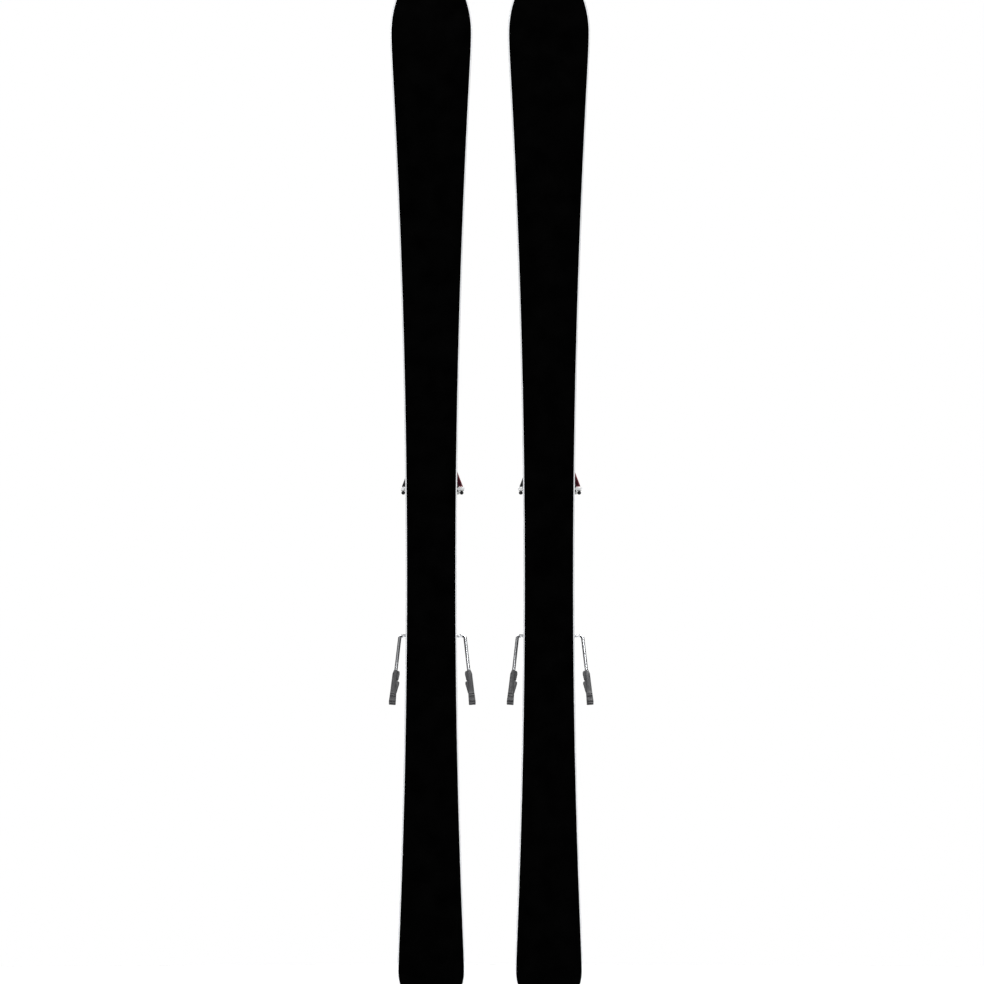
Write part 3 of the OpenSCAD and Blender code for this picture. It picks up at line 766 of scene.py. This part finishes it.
def toe_housing():
    shell = fused(housing_shell(), top_slope(59, 91, (-7.5, 7.5), 1.0))
    wing_room = (WING_LOW - 0.4, WING_HIGH + 0.4)
    tools = [
        block((-60, 60), (TOE + 5.5, TOE + 35), wing_room),
        block((11.2, 60), (TOE - 1, TOE + 40.6), wing_room),
        block((-60, -11.2), (TOE - 1, TOE + 40.6), wing_room),
        block((-11, 11), (TOE + 41, TOE + 93), (TOE_AXIS - 11, TOE_AXIS + 11)),
        disc(3.3, "y", TOE + 30, TOE + 45, (0, TOE_AXIS)),
        disc(6, "y", TOE + 90, TOE + 120, (0, TOE_AXIS)),
        prism(soft_outline(box_outline((-4, 4), (TOE + 63, TOE + 87)), 1.5), "z", 60, 100),
    ]
    for side in (1, -1):
        for at in (84, 89, 94, 99):
            across = sorted((side * (HOUSING_HALF(at) - 1.0), side * 40))
            tools.append(block(across, (TOE + at, TOE + at + 2), (43, 55 - (at - 84) * 0.3)))
        tools.append(disc(PIN_HOLE, "z", 40, 49, (side * WING.x, WING.y)))
    seam = cut(block((-40, 40), (TOE + 1, TOE + 116), (BASE_TOP + 4.4, BASE_TOP + 5.2)), housing_shell(0.7))
    return bevelled(cut(shell, seam, *tools), 0.7, 2)


def scale_marks(low, high, count, surface):
    """Raised marks beside a window; surface(y) is the height they lie on."""
    inner, outer = 4.6, 6.8
    bars = []
    for i in range(count):
        y = low + (high - low) * i / (count - 1)
        start = inner if i % 2 == 0 else (inner + outer) / 2
        bars.append(block((start, outer), (y - 0.35, y + 0.35), (surface(y) - 0.3, surface(y) + 0.12)))
    return joined(bars)


def toe_scale():
    low, high = (BASE_TOP + HOUSING_TOP(at) + 1.0 for at in (59, 91))
    return scale_marks(TOE + 65, TOE + 85, 9, lambda y: low + (high - low) * (y - TOE - 59) / 32)


WING_LINE = [(14, 22), (14, 35.5), (27.5, 37), (31.8, 36), (46.1, -1.2), (30.1, -1.2), (24, 5.5)]
WING_POCKET = [(31.6, 31.4), (44.3, 0.2), (31.6, 0.2)]


def wing_arm():
    """The arm on the +x side: hollow underneath, with a lip over the boot's toe."""
    outline = soft_outline(from_toe(WING_LINE), [1, 1, 4, 4, 0.8, 0.8, 5])
    lip = [(15.5, 4), (24, 5.5), (30.2, -1), (30.2, -11.5), (24, -8), (16, -2.5)]
    lip = soft_outline(from_toe(lip), [0.8, 2, 0.5, 2, 3, 2])
    pocket = soft_outline(from_toe(WING_POCKET), [0.6, 0.8, 0.6])
    hollow = prism(pocket, "z", WING_LOW - 1, WING_LOW + 8)
    body = fused(
        prism(outline, "z", WING_LOW, WING_HIGH),
        disc(8, "z", WING_LOW, WING_HIGH, (WING.x, WING.y)),
        block((4.2, 16), (TOE + 24, TOE + 32), (TOE_AXIS - 5, TOE_AXIS + 5)),
        prism(lip, "z", SOLE + 19.3, WING_HIGH),
    )
    window = [(34.3, 26), (43.4, 4.0), (50, 4.0), (50, 26)]
    flank = prism(from_toe(window), "z", WING_LOW + 11, WING_HIGH - 4)
    flank = cut(flank, prism([(x - 0.9, TOE + y) for x, y in WING_LINE], "z", 40, 90))
    return bevelled(cut(body, hollow, flank, disc(PIN_HOLE, "z", 40, 90, (WING.x, WING.y))), 0.6, 3)


def wing_lining():
    """Dark insert with a slanted rib in the hollow under the arm; on the red wing it takes a darker red that
    is painted shade for the hollow.
    """
    inside = soft_outline(from_toe([(31.9, 29.6), (43.6, 0.6), (31.9, 0.6)]), [0.6, 0.8, 0.6])
    rib = [(31.9, 14.5), (42.0, 4.5), (42.9, 2.4), (31.9, 11.5)]
    rib = prism(from_toe(rib), "z", WING_LOW + 1.0, WING_LOW + 8.2)
    return bevelled(fused(prism(inside, "z", WING_LOW + 3, WING_LOW + 8.2), rib), 0.4, 2)


def wing_cap():
    """Silver cap at the end of the arm."""
    line = [(35.6, -3.9), (39.8, -1.3), (46.2, -1.3), (48.4, -3.4), (47.2, -5.9), (35.6, -5.9)]
    outline = soft_outline(from_toe(line), [0.4, 0.5, 0.8, 0.8, 0.8, 0.5])
    return bevelled(prism(outline, "z", WING_LOW - 0.8, WING_HIGH), 0.5, 2)


def wing_lip():
    """Grey neck between the cap and the roller."""
    line = [(TOE - 4, WING_LOW - 0.6), (TOE - 7.8, WING_LOW + 0.8), (TOE - 7.8, 66), (TOE - 4, 66)]
    return bevelled(prism(line, "x", 40.2, 47.2), 0.4, 2)


def wing_jaw():
    """Pale pad on the inner side of the roller, with a dark plug."""
    line = [(30.6, -6.2), (38.8, -6.2), (39.8, -7.6), (40.8, -8.2), (41.0, -12.6), (35.8, -13), (32.2, -10.5)]
    outline = soft_outline(from_toe(line), [0.4, 0.5, 0.5, 0.3, 1.2, 2.5, 1.5])
    pad = prism(outline, "z", WING_LOW - 0.9, WING_HIGH - 0.2)
    return bevelled(cut(pad, disc(1.6, "z", 40, WING_LOW + 5, (37.8, TOE - 7.1), 24)), 0.5, 2)


def wing_plug():
    """Dark plug in the pad and the dark stop beside the cap."""
    plug = disc(1.55, "z", WING_LOW - 1.0, WING_LOW + 5.5, (37.8, TOE - 7.1), 24)
    line = [(30.6, 2.4), (38.8, 2.4), (39.6, -1.4), (37.6, -3.4), (30.6, -3.4)]
    stop = prism(soft_outline(from_toe(line), 0.6), "z", WING_LOW - 0.4, WING_HIGH - 2)
    return joined([bevelled(plug, 0.4, 2), bevelled(stop, 0.4, 2)])


def wing_roller():
    """Black grooved roller at the end of the wing."""
    r = 2.85
    stops = [(48.5, r - 0.8), (48.9, r - 0.3), (49.6, r), (52.2, r), (52.6, r - 0.3), (53.0, r)]
    stops += [(z + d, r - dip) for z in (56, 59.5, 63, 66.5) for d, dip in ((0, 0), (0.4, 0.3), (0.8, 0))]
    stops += [(70.4, r), (71.1, r - 0.3), (71.5, r - 0.8)]
    x, y = 43.9, TOE - 10.2
    rings = [[(x + r * math.cos(a), y + r * math.sin(a), z) for a in full_turn(32)] for z, r in stops]
    return loft(rings, 45)


def glide_plate():
    y0, y1 = TOE - 63, TOE - 17
    plate = prism(soft_outline(box_outline((-29, 29), (y0, y1)), 6, 6), "z", BASE_TOP + 0.4, SOLE)
    tools = [block((-40, 40), (TOE + y - 0.3, TOE + y + 3.3), (BASE_TOP, BASE_TOP + 2.8)) for y in (-55, -28)]
    grooves = [y0 + 6 + 3.4 * i for i in range(11)]
    grooves = [block((-24, 24), (y, y + 1), (SOLE - 0.5, SOLE + 1)) for y in grooves]
    return bevelled(cut(plate, *tools, *grooves), 0.35, 2)


def cross_slots(centre, reach, width, deep):
    """Two crossed cutters for a screw's recess, drawn along y."""
    x, y, z = centre
    return [
        block((x - reach, x + reach), (y - deep, y + deep), (z - width, z + width)),
        block((x - width, x + width), (y - deep, y + deep), (z - reach, z + reach)),
    ]


def threaded(start, end, r, head_start, head_end, head_r, z):
    """A screw along y; the head may be at either end of the thread."""
    count = int(abs(end - start) / 0.3)
    shaft = [(start + (end - start) * i / count, r) for i in range(count + 1)]
    facing = 1 if head_end > head_start else -1
    head = [(head_start, head_r), (head_end - 0.5 * facing, head_r), (head_end, head_r - 0.5)]
    lead = [(start, r - 0.8), (start + 0.6 * facing, r)]
    profile = lead + shaft[3:] + head
    span = sorted((start + facing, end - facing))
    return turned(profile, z, (*span, THREAD_PITCH, 0.4))


def toe_screw():
    screw = threaded(TOE + 54.5, TOE + 94, 3, TOE + 94, TOE + 106, 5.5, TOE_AXIS)
    dish = disc(4, "y", TOE + 105.3, TOE + 107, (0, TOE_AXIS))
    return cut(screw, *cross_slots((0, TOE + 106, TOE_AXIS), 3.2, 0.7, 2.6), dish)


def coil(y0, y1, mean_r, r, turns, z):
    """A compression spring along y with its end turns closed."""
    steps = 24
    open_pitch = (y1 - y0 - 2 * r - 4.2 * r) / (turns - 2)
    path, y = [], y0 + r
    for i in range(turns * steps + 1):
        a = 2 * math.pi * i / steps
        path.append((mean_r * math.cos(a), y, z + mean_r * math.sin(a)))
        closed = i < steps or i >= (turns - 1) * steps
        y += (2.1 * r if closed else open_pitch) / steps
    return tube(path, r, 12)


def screw_head():
    """One countersunk screw, drawn along y with its head at the + end."""
    top = RAIL_TOP - 0.1
    profile = [(12, 1.4), (14, 2.75), (26.6, 2.75), (top - 2.3, 4.5), (top - 0.3, 4.6), (top, 4.3)]
    screw = cut(turned(profile, 0), *cross_slots((0, top, 0), 2.7, 0.55, 1.6))
    return moved(screw, Matrix.Rotation(math.pi / 2, 4, "X"))


def build_toe():
    place("toe_housing_look", toe_housing(), "skis", "housing_plastic", ["*_toe_housing"], M["housing"])
    place("toe_scale", toe_scale(), "skis", "grey_plastic", [], M["mark"])
    arm, cap, jaw, roller = wing_arm(), wing_cap(), wing_jaw(), wing_roller()
    plug, hollow_shade_lining, lip = wing_plug(), wing_lining(), wing_lip()
    # The red wing's lining takes the darker red, which paints the shade in the hollow under the arm
    for colour, inside, side in (("black", "black", lambda me: me), ("red", "red_painted_shade", mirrored)):
        body, node = f"*_{colour}_wing_body", f"*_{colour}_wing"
        for name, me, slot, nodes, look in (
            ("arm", arm, f"{colour}_plastic", [node], colour),
            ("cap", cap, "steel", [], "silver"),
            ("jaw", jaw, "grey_plastic", [], "jaw"),
            ("roller", roller, "black_plastic", [node + "_tip"], "rubber"),
            ("plug", plug, "black_plastic", [], "black"),
            ("lip", lip, "grey_plastic", [], "jaw"),
            ("hollow_shade_lining", hollow_shade_lining, "black_plastic", [], inside),
        ):
            place(f"{colour}_{name}", side(me), body, slot, nodes, M[look])
    place("glide_look", glide_plate(), "*_glide_body", "grey_plastic", ["*_glide_plate"], M["grey"])
    place("toe_screw_look", toe_screw(), "*_toe_screw_body", "steel", ["*_toe_screw"], M["steel"])
    y0, y1 = TOE + 41.3, TOE + 73.7
    spring = coil(y0, y1, 8.6, 1.5, 7, TOE_AXIS)
    place_spring("toe_spring_look", spring, "toe_springs", [y0, y0 + 18.5, y1], TOE_AXIS)
    head = screw_head()
    screws = joined([moved(head, Matrix.Translation((x, y, 0))) for x, y in SCREWS])
    place_both("screws_look", screws, "steel", ["fixing_screws"], M["steel"], frames=ON_BINDING)


build_toe()

# ---- heel piece


def sector(centre, radii, angles, x):
    """A bent slot across the ski, from one angle to the other above +y."""
    steps = [math.radians(angles[0] + (angles[1] - angles[0]) * i / 16) for i in range(17)]
    points = [(radii[1], a) for a in steps] + [(radii[0], a) for a in reversed(steps)]
    return prism([(centre.y + r * math.cos(a), centre.z + r * math.sin(a)) for r, a in points], "x", *x)


def heel_housing():
    line = [(-91, 49), (-73, 41), (-41, 33), (-25, 33), (-21, 36)]
    line += [(-21, 74), (-25, 80), (-46, 80), (-76, 72), (-91, 67)]
    radii = [4, 8, 6, 2, 2, 3, 3, 10, 10, 6]
    outline = soft_outline([(HEEL + y, SKI_TOP + z) for y, z in line], radii)
    body = bevelled(prism(outline, "x", -19.8, 19.8), 2.6, 4)
    spine = [(-80, 69), (-56, 76.4), (-56, 78.6), (-80, 71.6)]
    window_frame = prism([(HEEL + y, SKI_TOP + z) for y, z in spine], "x", -7.4, 7.4)
    stub = (LEVER.y, LEVER.z)
    tools = [
        disc(4.06, "x", -30, 30, (HEEL_PIVOT.y, HEEL_PIVOT.z)),
        sector(HEEL_PIVOT, (17.8, 26.4), (-13, 51), (-30, 30)),
        block((-8.8, 8.8), (HEEL - 79, HEEL - 33), (HEEL_AXIS - 8.8, HEEL_AXIS + 8.8)),
        disc(5.6, "y", HEEL - 95, HEEL - 78, (0, HEEL_AXIS)),
        prism(soft_outline(box_outline((-4, 4), (HEEL - 76, HEEL - 60)), 1.5), "z", HEEL_AXIS, 120),
        disc(PIN_HOLE, "x", 13.8, 22, stub),
        disc(PIN_HOLE, "x", -22, -13.8, stub),
    ]
    for x in (-14.5, -11.5, 11.5, 14.5):
        tools.append(block((x - 0.6, x + 0.6), (HEEL - 93, HEEL - 90.2), (SKI_TOP + 52, SKI_TOP + 66)))
    return bevelled(cut(fused(body, window_frame), *tools), 0.5, 2)


def heel_scale():
    low = SKI_TOP + 71.6
    return scale_marks(HEEL - 75, HEEL - 61, 7, lambda y: low + 7 / 24 * (y - HEEL + 80))


def heel_cup():
    """Bent wall round the boot's heel with a lip over it, a step to tread on and the bracket behind."""
    z0, z1 = SOLE - 1.6, SOLE + 38.4
    wall = cut(
        disc(46, "z", z0, z1, (0, HEEL + 27), 128),
        disc(37, "z", z0 - 5, SOLE + 30.4, (0, HEEL + 37), 128),
        disc(29.5, "z", z0 - 5, z1 + 5, (0, HEEL + 37), 128),
        block((-60, 60), (HEEL + 15, HEEL + 100), (0, 200)),
        block((34, 64), (HEEL - 50, HEEL + 50), (0, 200)),
        block((-64, -34), (HEEL - 50, HEEL + 50), (0, 200)),
        block((-60, 60), (HEEL - 60, HEEL - 20.7), (0, 200)),
    )
    step = [(-30, -8), (30, -8), (30, 8), (22, 20), (-22, 20), (-30, 8)]
    step = soft_outline([(x, HEEL + y) for x, y in step], [2, 2, 5, 5, 5, 5])
    whole = fused(
        wall,
        prism(step, "z", SOLE - 7, SOLE - 1.4),
        block((-24, 24), (HEEL - 16, HEEL - 6), (SOLE - 7, SOLE + 4)),
        block((-17, 17), (HEEL - 20.7, HEEL - 10), (SOLE, SOLE + 46)),
    )
    grip = [block((-20, 20), (HEEL + y, HEEL + y + 1.4), (SOLE - 2.4, SOLE)) for y in (1, 5, 9, 13)]
    flutes = []
    for side in (1, -1):
        for i in range(4):
            a = math.radians(-38 - 8 * i)
            at = (side * 46.2 * math.cos(a), HEEL + 27 + 46.2 * math.sin(a))
            flutes.append(disc(1.3, "z", SOLE + 6, SOLE + 26, at, 20))
    return bevelled(cut(whole, *grip, *flutes), 0.9, 3)


def heel_lever():
    """Two arms on stub pins and a dished pad for the pole tip, drawn level and tilted up at the end."""
    upper = [(4.4, 4.4), (0, 6.2), (-7, 5.2), (-30, 3.6), (-62, 4)]
    arm_line = [(6.2, 0)] + upper + [(y, -z) for y, z in reversed(upper)]
    outline = soft_outline(arm_line, [3, 3, 3, 6, 12, 0.5, 0.5, 12, 6, 3, 3])
    recess = soft_outline([(-10, 2.6), (-50, 1.7), (-50, -1.7), (-10, -2.6)], 1.4)
    arms = []
    for side in (1, -1):
        bar = prism(outline, "x", *sorted((side * 20.3, side * 25)))
        panel = prism(recess, "x", *sorted((side * 24.2, side * 26)))
        arms.append(fused(cut(bar, panel), disc(2.5, "x", *sorted((side * 14, side * 21)), sides=32)))
    pad = prism(soft_outline(box_outline((-25, 25), (-80, -54)), 6, 6), "z", -4, 4)
    r, ball = 14, []
    for i in range(13):
        a = math.radians(-90 + 90 * i / 12)
        wide, z = r * math.cos(a), r + r * math.sin(a)
        ball.append([(wide * math.cos(t), -66 + wide * math.sin(t), z) for t in full_turn(40)])
    ribs = [block((-19, 19), (-79 + 2.4 * i, -78 + 2.4 * i), (3.2, 5)) for i in range(2)]
    lever = fused(*arms, cut(pad, loft(ball), *ribs))
    tilt = Matrix.Translation(LEVER) @ Matrix.Rotation(math.radians(-16), 4, "X")
    return moved(bevelled(lever, 0.9, 3), tilt)


def lock_lever():
    y, z = LOCK.y, LOCK.z
    plate = prism(soft_outline(box_outline((-13, 13), (y - 36, y)), [0.5, 0.5, 2, 2]), "z", z - 2.4, z + 1.4)
    tab = prism(soft_outline(box_outline((-16, 16), (y - 39, y - 31)), 3), "z", z - 2.4, z + 1.4)
    window = soft_outline(box_outline((-7, 7), (y - 27, y - 8)), 2.5)
    tooth = block((-11, 11), (y - 21, y - 16), (RAIL_TOP + 0.2, z))
    whole = fused(plate, tab, disc(3.4, "x", -13.8, 13.8, (y, z)), tooth)
    ribs = [block((-12, 12), (y - 37.6 + 2 * i, y - 36.8 + 2 * i), (z + 0.8, z + 2)) for i in range(3)]
    bore = disc(2.05, "x", -20, 20, (y, z))
    return bevelled(cut(whole, prism(window, "z", z - 0.6, z + 5), bore, *ribs), 0.4, 2)


def heel_screw():
    screw = threaded(HEEL - 53, HEEL - 80, 3, HEEL - 80, HEEL - 90.5, 5.3, HEEL_AXIS)
    return cut(screw, *cross_slots((0, HEEL - 90.5, HEEL_AXIS), 3.2, 0.7, 2.6))


def build_heel():
    body = "*_heel_housing_body"
    place("heel_housing_look", heel_housing(), body, "housing_plastic", ["*_heel_housing"], M["housing"])
    place("heel_scale", heel_scale(), body, "grey_plastic", [], M["mark"])
    place("heel_cup_look", heel_cup(), body, "dark_plastic", ["*_heel_cup"], M["dark"])
    place("heel_lever_look", heel_lever(), "*_heel_lever_body", "lever_metal", ["*_heel_lever"], M["lever"])
    place("lock_lever_look", lock_lever(), "*_lock_lever_body", "lever_metal", ["*_lock_lever"], M["lever"])
    place("heel_screw_look", heel_screw(), "*_heel_screw_body", "steel", ["*_heel_screw"], M["steel"])
    y0, y1 = HEEL - 64.6, HEEL - 47.4
    spring = coil(y0, y1, 6.9, 1.4, 4, HEEL_AXIS)
    place_spring("heel_spring_look", spring, "*_heel_spring", [y0, y0 + 7.4, y1], HEEL_AXIS)


build_heel()

# ---- brake

WIRE_R, ARM_X, ELBOW_R, LEG_X, LEG_BEND, BOW_Y = 2.5, 49.4, 7.0, 17.5, 5.0, 51.0
FLARE = math.radians(5.2)
ARM_LENGTH, ELBOW_BEND = 125.4, 4.8
ARM_RUN = (ARM_LENGTH - ELBOW_R) / math.cos(FLARE)
BRAKE_ANGLE = math.radians(JOINTS["left_brake_hinge"]["range_deg"][1])
DEPLOY = Matrix.Translation((0, BRAKE.y, BRAKE.z)) @ Matrix.Rotation(BRAKE_ANGLE, 4, "X")
ARM = Matrix.Translation((ARM_X, -ELBOW_R, 0)) @ Matrix.Rotation(FLARE, 4, "Z")


def bow():
    """The bow under the pedal, from one pivot's side to the other, in the brake's flat position."""
    corners = [(LEG_X, 0, 0), (LEG_X, BOW_Y, 0), (-LEG_X, BOW_Y, 0), (-LEG_X, 0, 0)]
    return rounded_path(corners, LEG_BEND)


def brake_wire():
    tip = ARM @ Vector((0, -(ARM_RUN - 10), 0))
    elbow = (ARM_X - ELBOW_R * math.tan(FLARE), 0, 0)
    half = [tuple(tip), elbow, (LEG_X, 0, 0), (LEG_X, BOW_Y, 0)]
    corners = half + [(-x, y, z) for x, y, z in reversed(half)]
    return tube(rounded_path(corners, ELBOW_BEND, 12), WIRE_R, 28)


def pedal():
    plate = prism(soft_outline(box_outline((-27, 27), (9, 59)), 7, 6), "z", -2.7, 5.5)
    grooves = [block((-20, 20), (y, y + 1.6), (4.5, 6)) for y in (27, 32, 37, 42, 47, 52)]
    channel = tube(bow(), WIRE_R + 0.2, 24)
    notch = prism(soft_outline(box_outline((-11, 11), (4, 22)), 3), "z", -4, 2)
    return bevelled(cut(plate, channel, notch, *grooves), 0.8, 3)


# Foot on the +x arm, as (x outwards, distance down the arm from the elbow's end)
FOOT_BODY = [(-2.9, 59.5), (2.6, 59.5), (4.3, 66.5), (4.5, 100), (5.0, ARM_RUN)]
FOOT_BODY += [(-5.3, ARM_RUN), (-4.5, 100), (-2.6, 92)]
FOOT_FIN = [(-1.5, 59.6), (-5.0, 59.9), (-6.2, 62.5), (-5.2, 73.6), (-2.2, 77), (-7.3, 80.4)]
FOOT_FIN += [(-4.6, 99), (-1.5, 102)]


def brake_foot():
    """Sleeve on the wire: a raised rounded bar, sunk flanks, a hooked fin inside and a grooved end."""
    body = soft_outline([(x, -s) for x, s in FOOT_BODY], [1.2, 1.2, 3, 4, 0.8, 0.8, 3, 4])
    fin = soft_outline([(x, -s) for x, s in FOOT_FIN], [0.3, 0.8, 0.8, 0.5, 0.3, 0.2, 3, 0.3])
    sleeve = bevelled(prism(body, "z", -4.6, 4.6), 1.3, 3)
    blade = bevelled(prism(fin, "z", -2.6, 2.6), 0.45, 2)
    tools = [disc(WIRE_R, "y", -(ARM_RUN - 10), -50, (0, 0), 28)]
    for face in (-1, 1):
        rise = sorted((face * 3.5, face * 6))
        for low, high in ((5.8, 11), (13.8, 15)):
            tools.append(block((-9, 9), (low - ARM_RUN, high - ARM_RUN), rise))
        flank = [(2.3, -66), (4.0, -68), (4.2, -99), (2.5, -99)]
        tools.append(prism(soft_outline(flank, 0.6), "z", *sorted((face * 3.9, face * 6))))
    tools.append(block((-9, 9), (-ARM_RUN - 1, 1.9 - ARM_RUN), (-6, -2.9)))
    tools.append(block((-4.2, 4), (-ARM_RUN - 1, 1.5 - ARM_RUN), (0.4, 3.4)))
    return bevelled(cut(fused(sleeve, blade), *tools), 0.25, 2)


def build_brake():
    foot = moved(brake_foot(), ARM)
    for name, me, slot, node, look in (
        ("wire", brake_wire(), "wire_steel", "wire", "wire"),
        ("pedal", pedal(), "black_plastic", "pedal", "black"),
        ("feet", joined([foot, mirrored(foot)]), "foot_plastic", "tips", "foot"),
    ):
        place(f"brake_{name}_look", moved(me, DEPLOY), "*_brake_body", slot, ["*_brake_" + node], M[look])


build_brake()

# ---- CAD nodes that keep their shape


def finish_cad_nodes():
    slots = {r["node"]: r["material_slot"] for r in frame["record"]["subparts"]}
    for name, ob in frame["nodes"].items():
        ob.data.materials.clear()
        slot = slots[name]
        ob.data.materials.append(M[SLOT_LOOK.get(slot, slot.split("_")[0])])
        if ob.hide_render:
            continue
        ob.data.polygons.foreach_set("material_index", [0] * len(ob.data.polygons))
        ob.modifiers.new("weld", "WELD").merge_threshold = 0.00001
        flat = ob.modifiers.new("flat", "DECIMATE")
        flat.decimate_type, flat.angle_limit = "DISSOLVE", math.radians(0.5)
        soft = ob.modifiers.new("soft", "BEVEL")
        soft.width, soft.segments, soft.limit_method = 0.0006, 2, "ANGLE"
        soft.angle_limit = math.radians(35)


finish_cad_nodes()

# ---- light, floor and camera


def studio_world():
    """Even white to the camera, but a bright and a dark side in reflections, so that metal keeps outlines."""
    world = bpy.data.worlds.new("studio")
    bpy.context.scene.world = world
    world.use_nodes = True
    tree = world.node_tree
    kinds = ("TexCoord", "SeparateXYZ", "Math", "ValToRGB", "LightPath", "MixShader", "Background")
    coord, parts, half, ramp, path, mixer, plain = (tree.nodes.new("ShaderNode" + kind) for kind in kinds)
    background = tree.nodes["Background"]
    plain.inputs["Color"].default_value = (1, 1, 1, 1)
    half.operation = "MULTIPLY_ADD"
    half.inputs[1].default_value = half.inputs[2].default_value = 0.5
    set_stops(ramp, WORLD_STOPS)
    for output, socket in (
        (coord.outputs["Generated"], parts.inputs[0]),
        (parts.outputs[1], half.inputs[0]),
        (half.outputs[0], ramp.inputs[0]),
        (ramp.outputs[0], background.inputs["Color"]),
        (path.outputs["Is Camera Ray"], mixer.inputs[0]),
        (background.outputs[0], mixer.inputs[1]),
        (plain.outputs[0], mixer.inputs[2]),
        (mixer.outputs[0], tree.nodes["World Output"].inputs["Surface"]),
    ):
        tree.links.new(output, socket)


# Brightness of the surroundings, from the camera's side (0) to behind the skis (1)
WORLD_STOPS = [(0.0, 1.0), (0.14, 1.0), (0.25, 0.55), (0.40, 0.5), (0.48, 0.08), (0.92, 0.1), (1.0, 0.3)]
studio_world()


def area(name, at, aim, size, power):
    light = bpy.data.lights.new(name, "AREA")
    light.shape, light.size, light.energy = "DISK", size, power
    ob = new_object(name, light)
    ob.location = at
    ob.rotation_mode = "QUATERNION"
    ob.rotation_quaternion = (Vector(aim) - Vector(at)).to_track_quat("-Z", "Y")


area("key", (-1.6, -2.2, 2.6), (0, 0, 0.8), 1.2, 60)
area("fill", (1.5, 1.6, 3.7), (0, 0, 0.8), 1.4, 70)
area("back", (-1.4, 2.0, 3.8), (0, 0, 0.7), 1.6, 80)
area("top", (0.8, 0.1, 4.0), (0.3, 0, 0), 1.4, 110)


def paper_floor():
    mesh = bpy.data.meshes.new("floor")
    ring = [(2.2 * math.cos(a), 2.2 * math.sin(a), -0.0005) for a in np.linspace(0, 2 * math.pi, 97)[:-1]]
    mesh.from_pydata(ring, [], [tuple(range(96))])
    ob = new_object("floor", mesh)
    paper = Nodes("paper")
    paper.bump(paper.noise(300, 3), 0.1, 0.0002)
    mesh.materials.append(paper.out(Base_Color=(0.9, 0.9, 0.9), Roughness=0.9, Specular_IOR_Level=0.1))


paper_floor()

# The photograph's frame: 1.476 m across at the skis' bases, seen square on from far away
DISTANCE, SPAN = 30.0, 1.476
camera = bpy.data.cameras.new("camera")
camera.type = "PERSP"
camera.sensor_width = 36
camera.lens = 36 * DISTANCE / SPAN
camera.clip_end = 100
cam = new_object("camera", camera)
base_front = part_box("left_base")[0].y
cam.location = (0.0012, base_front + 0.004 - DISTANCE, 0.762)
cam.rotation_euler = (math.radians(90), 0, 0)
bpy.context.scene.camera = cam
bpy.context.scene.view_settings.view_transform = "Standard"
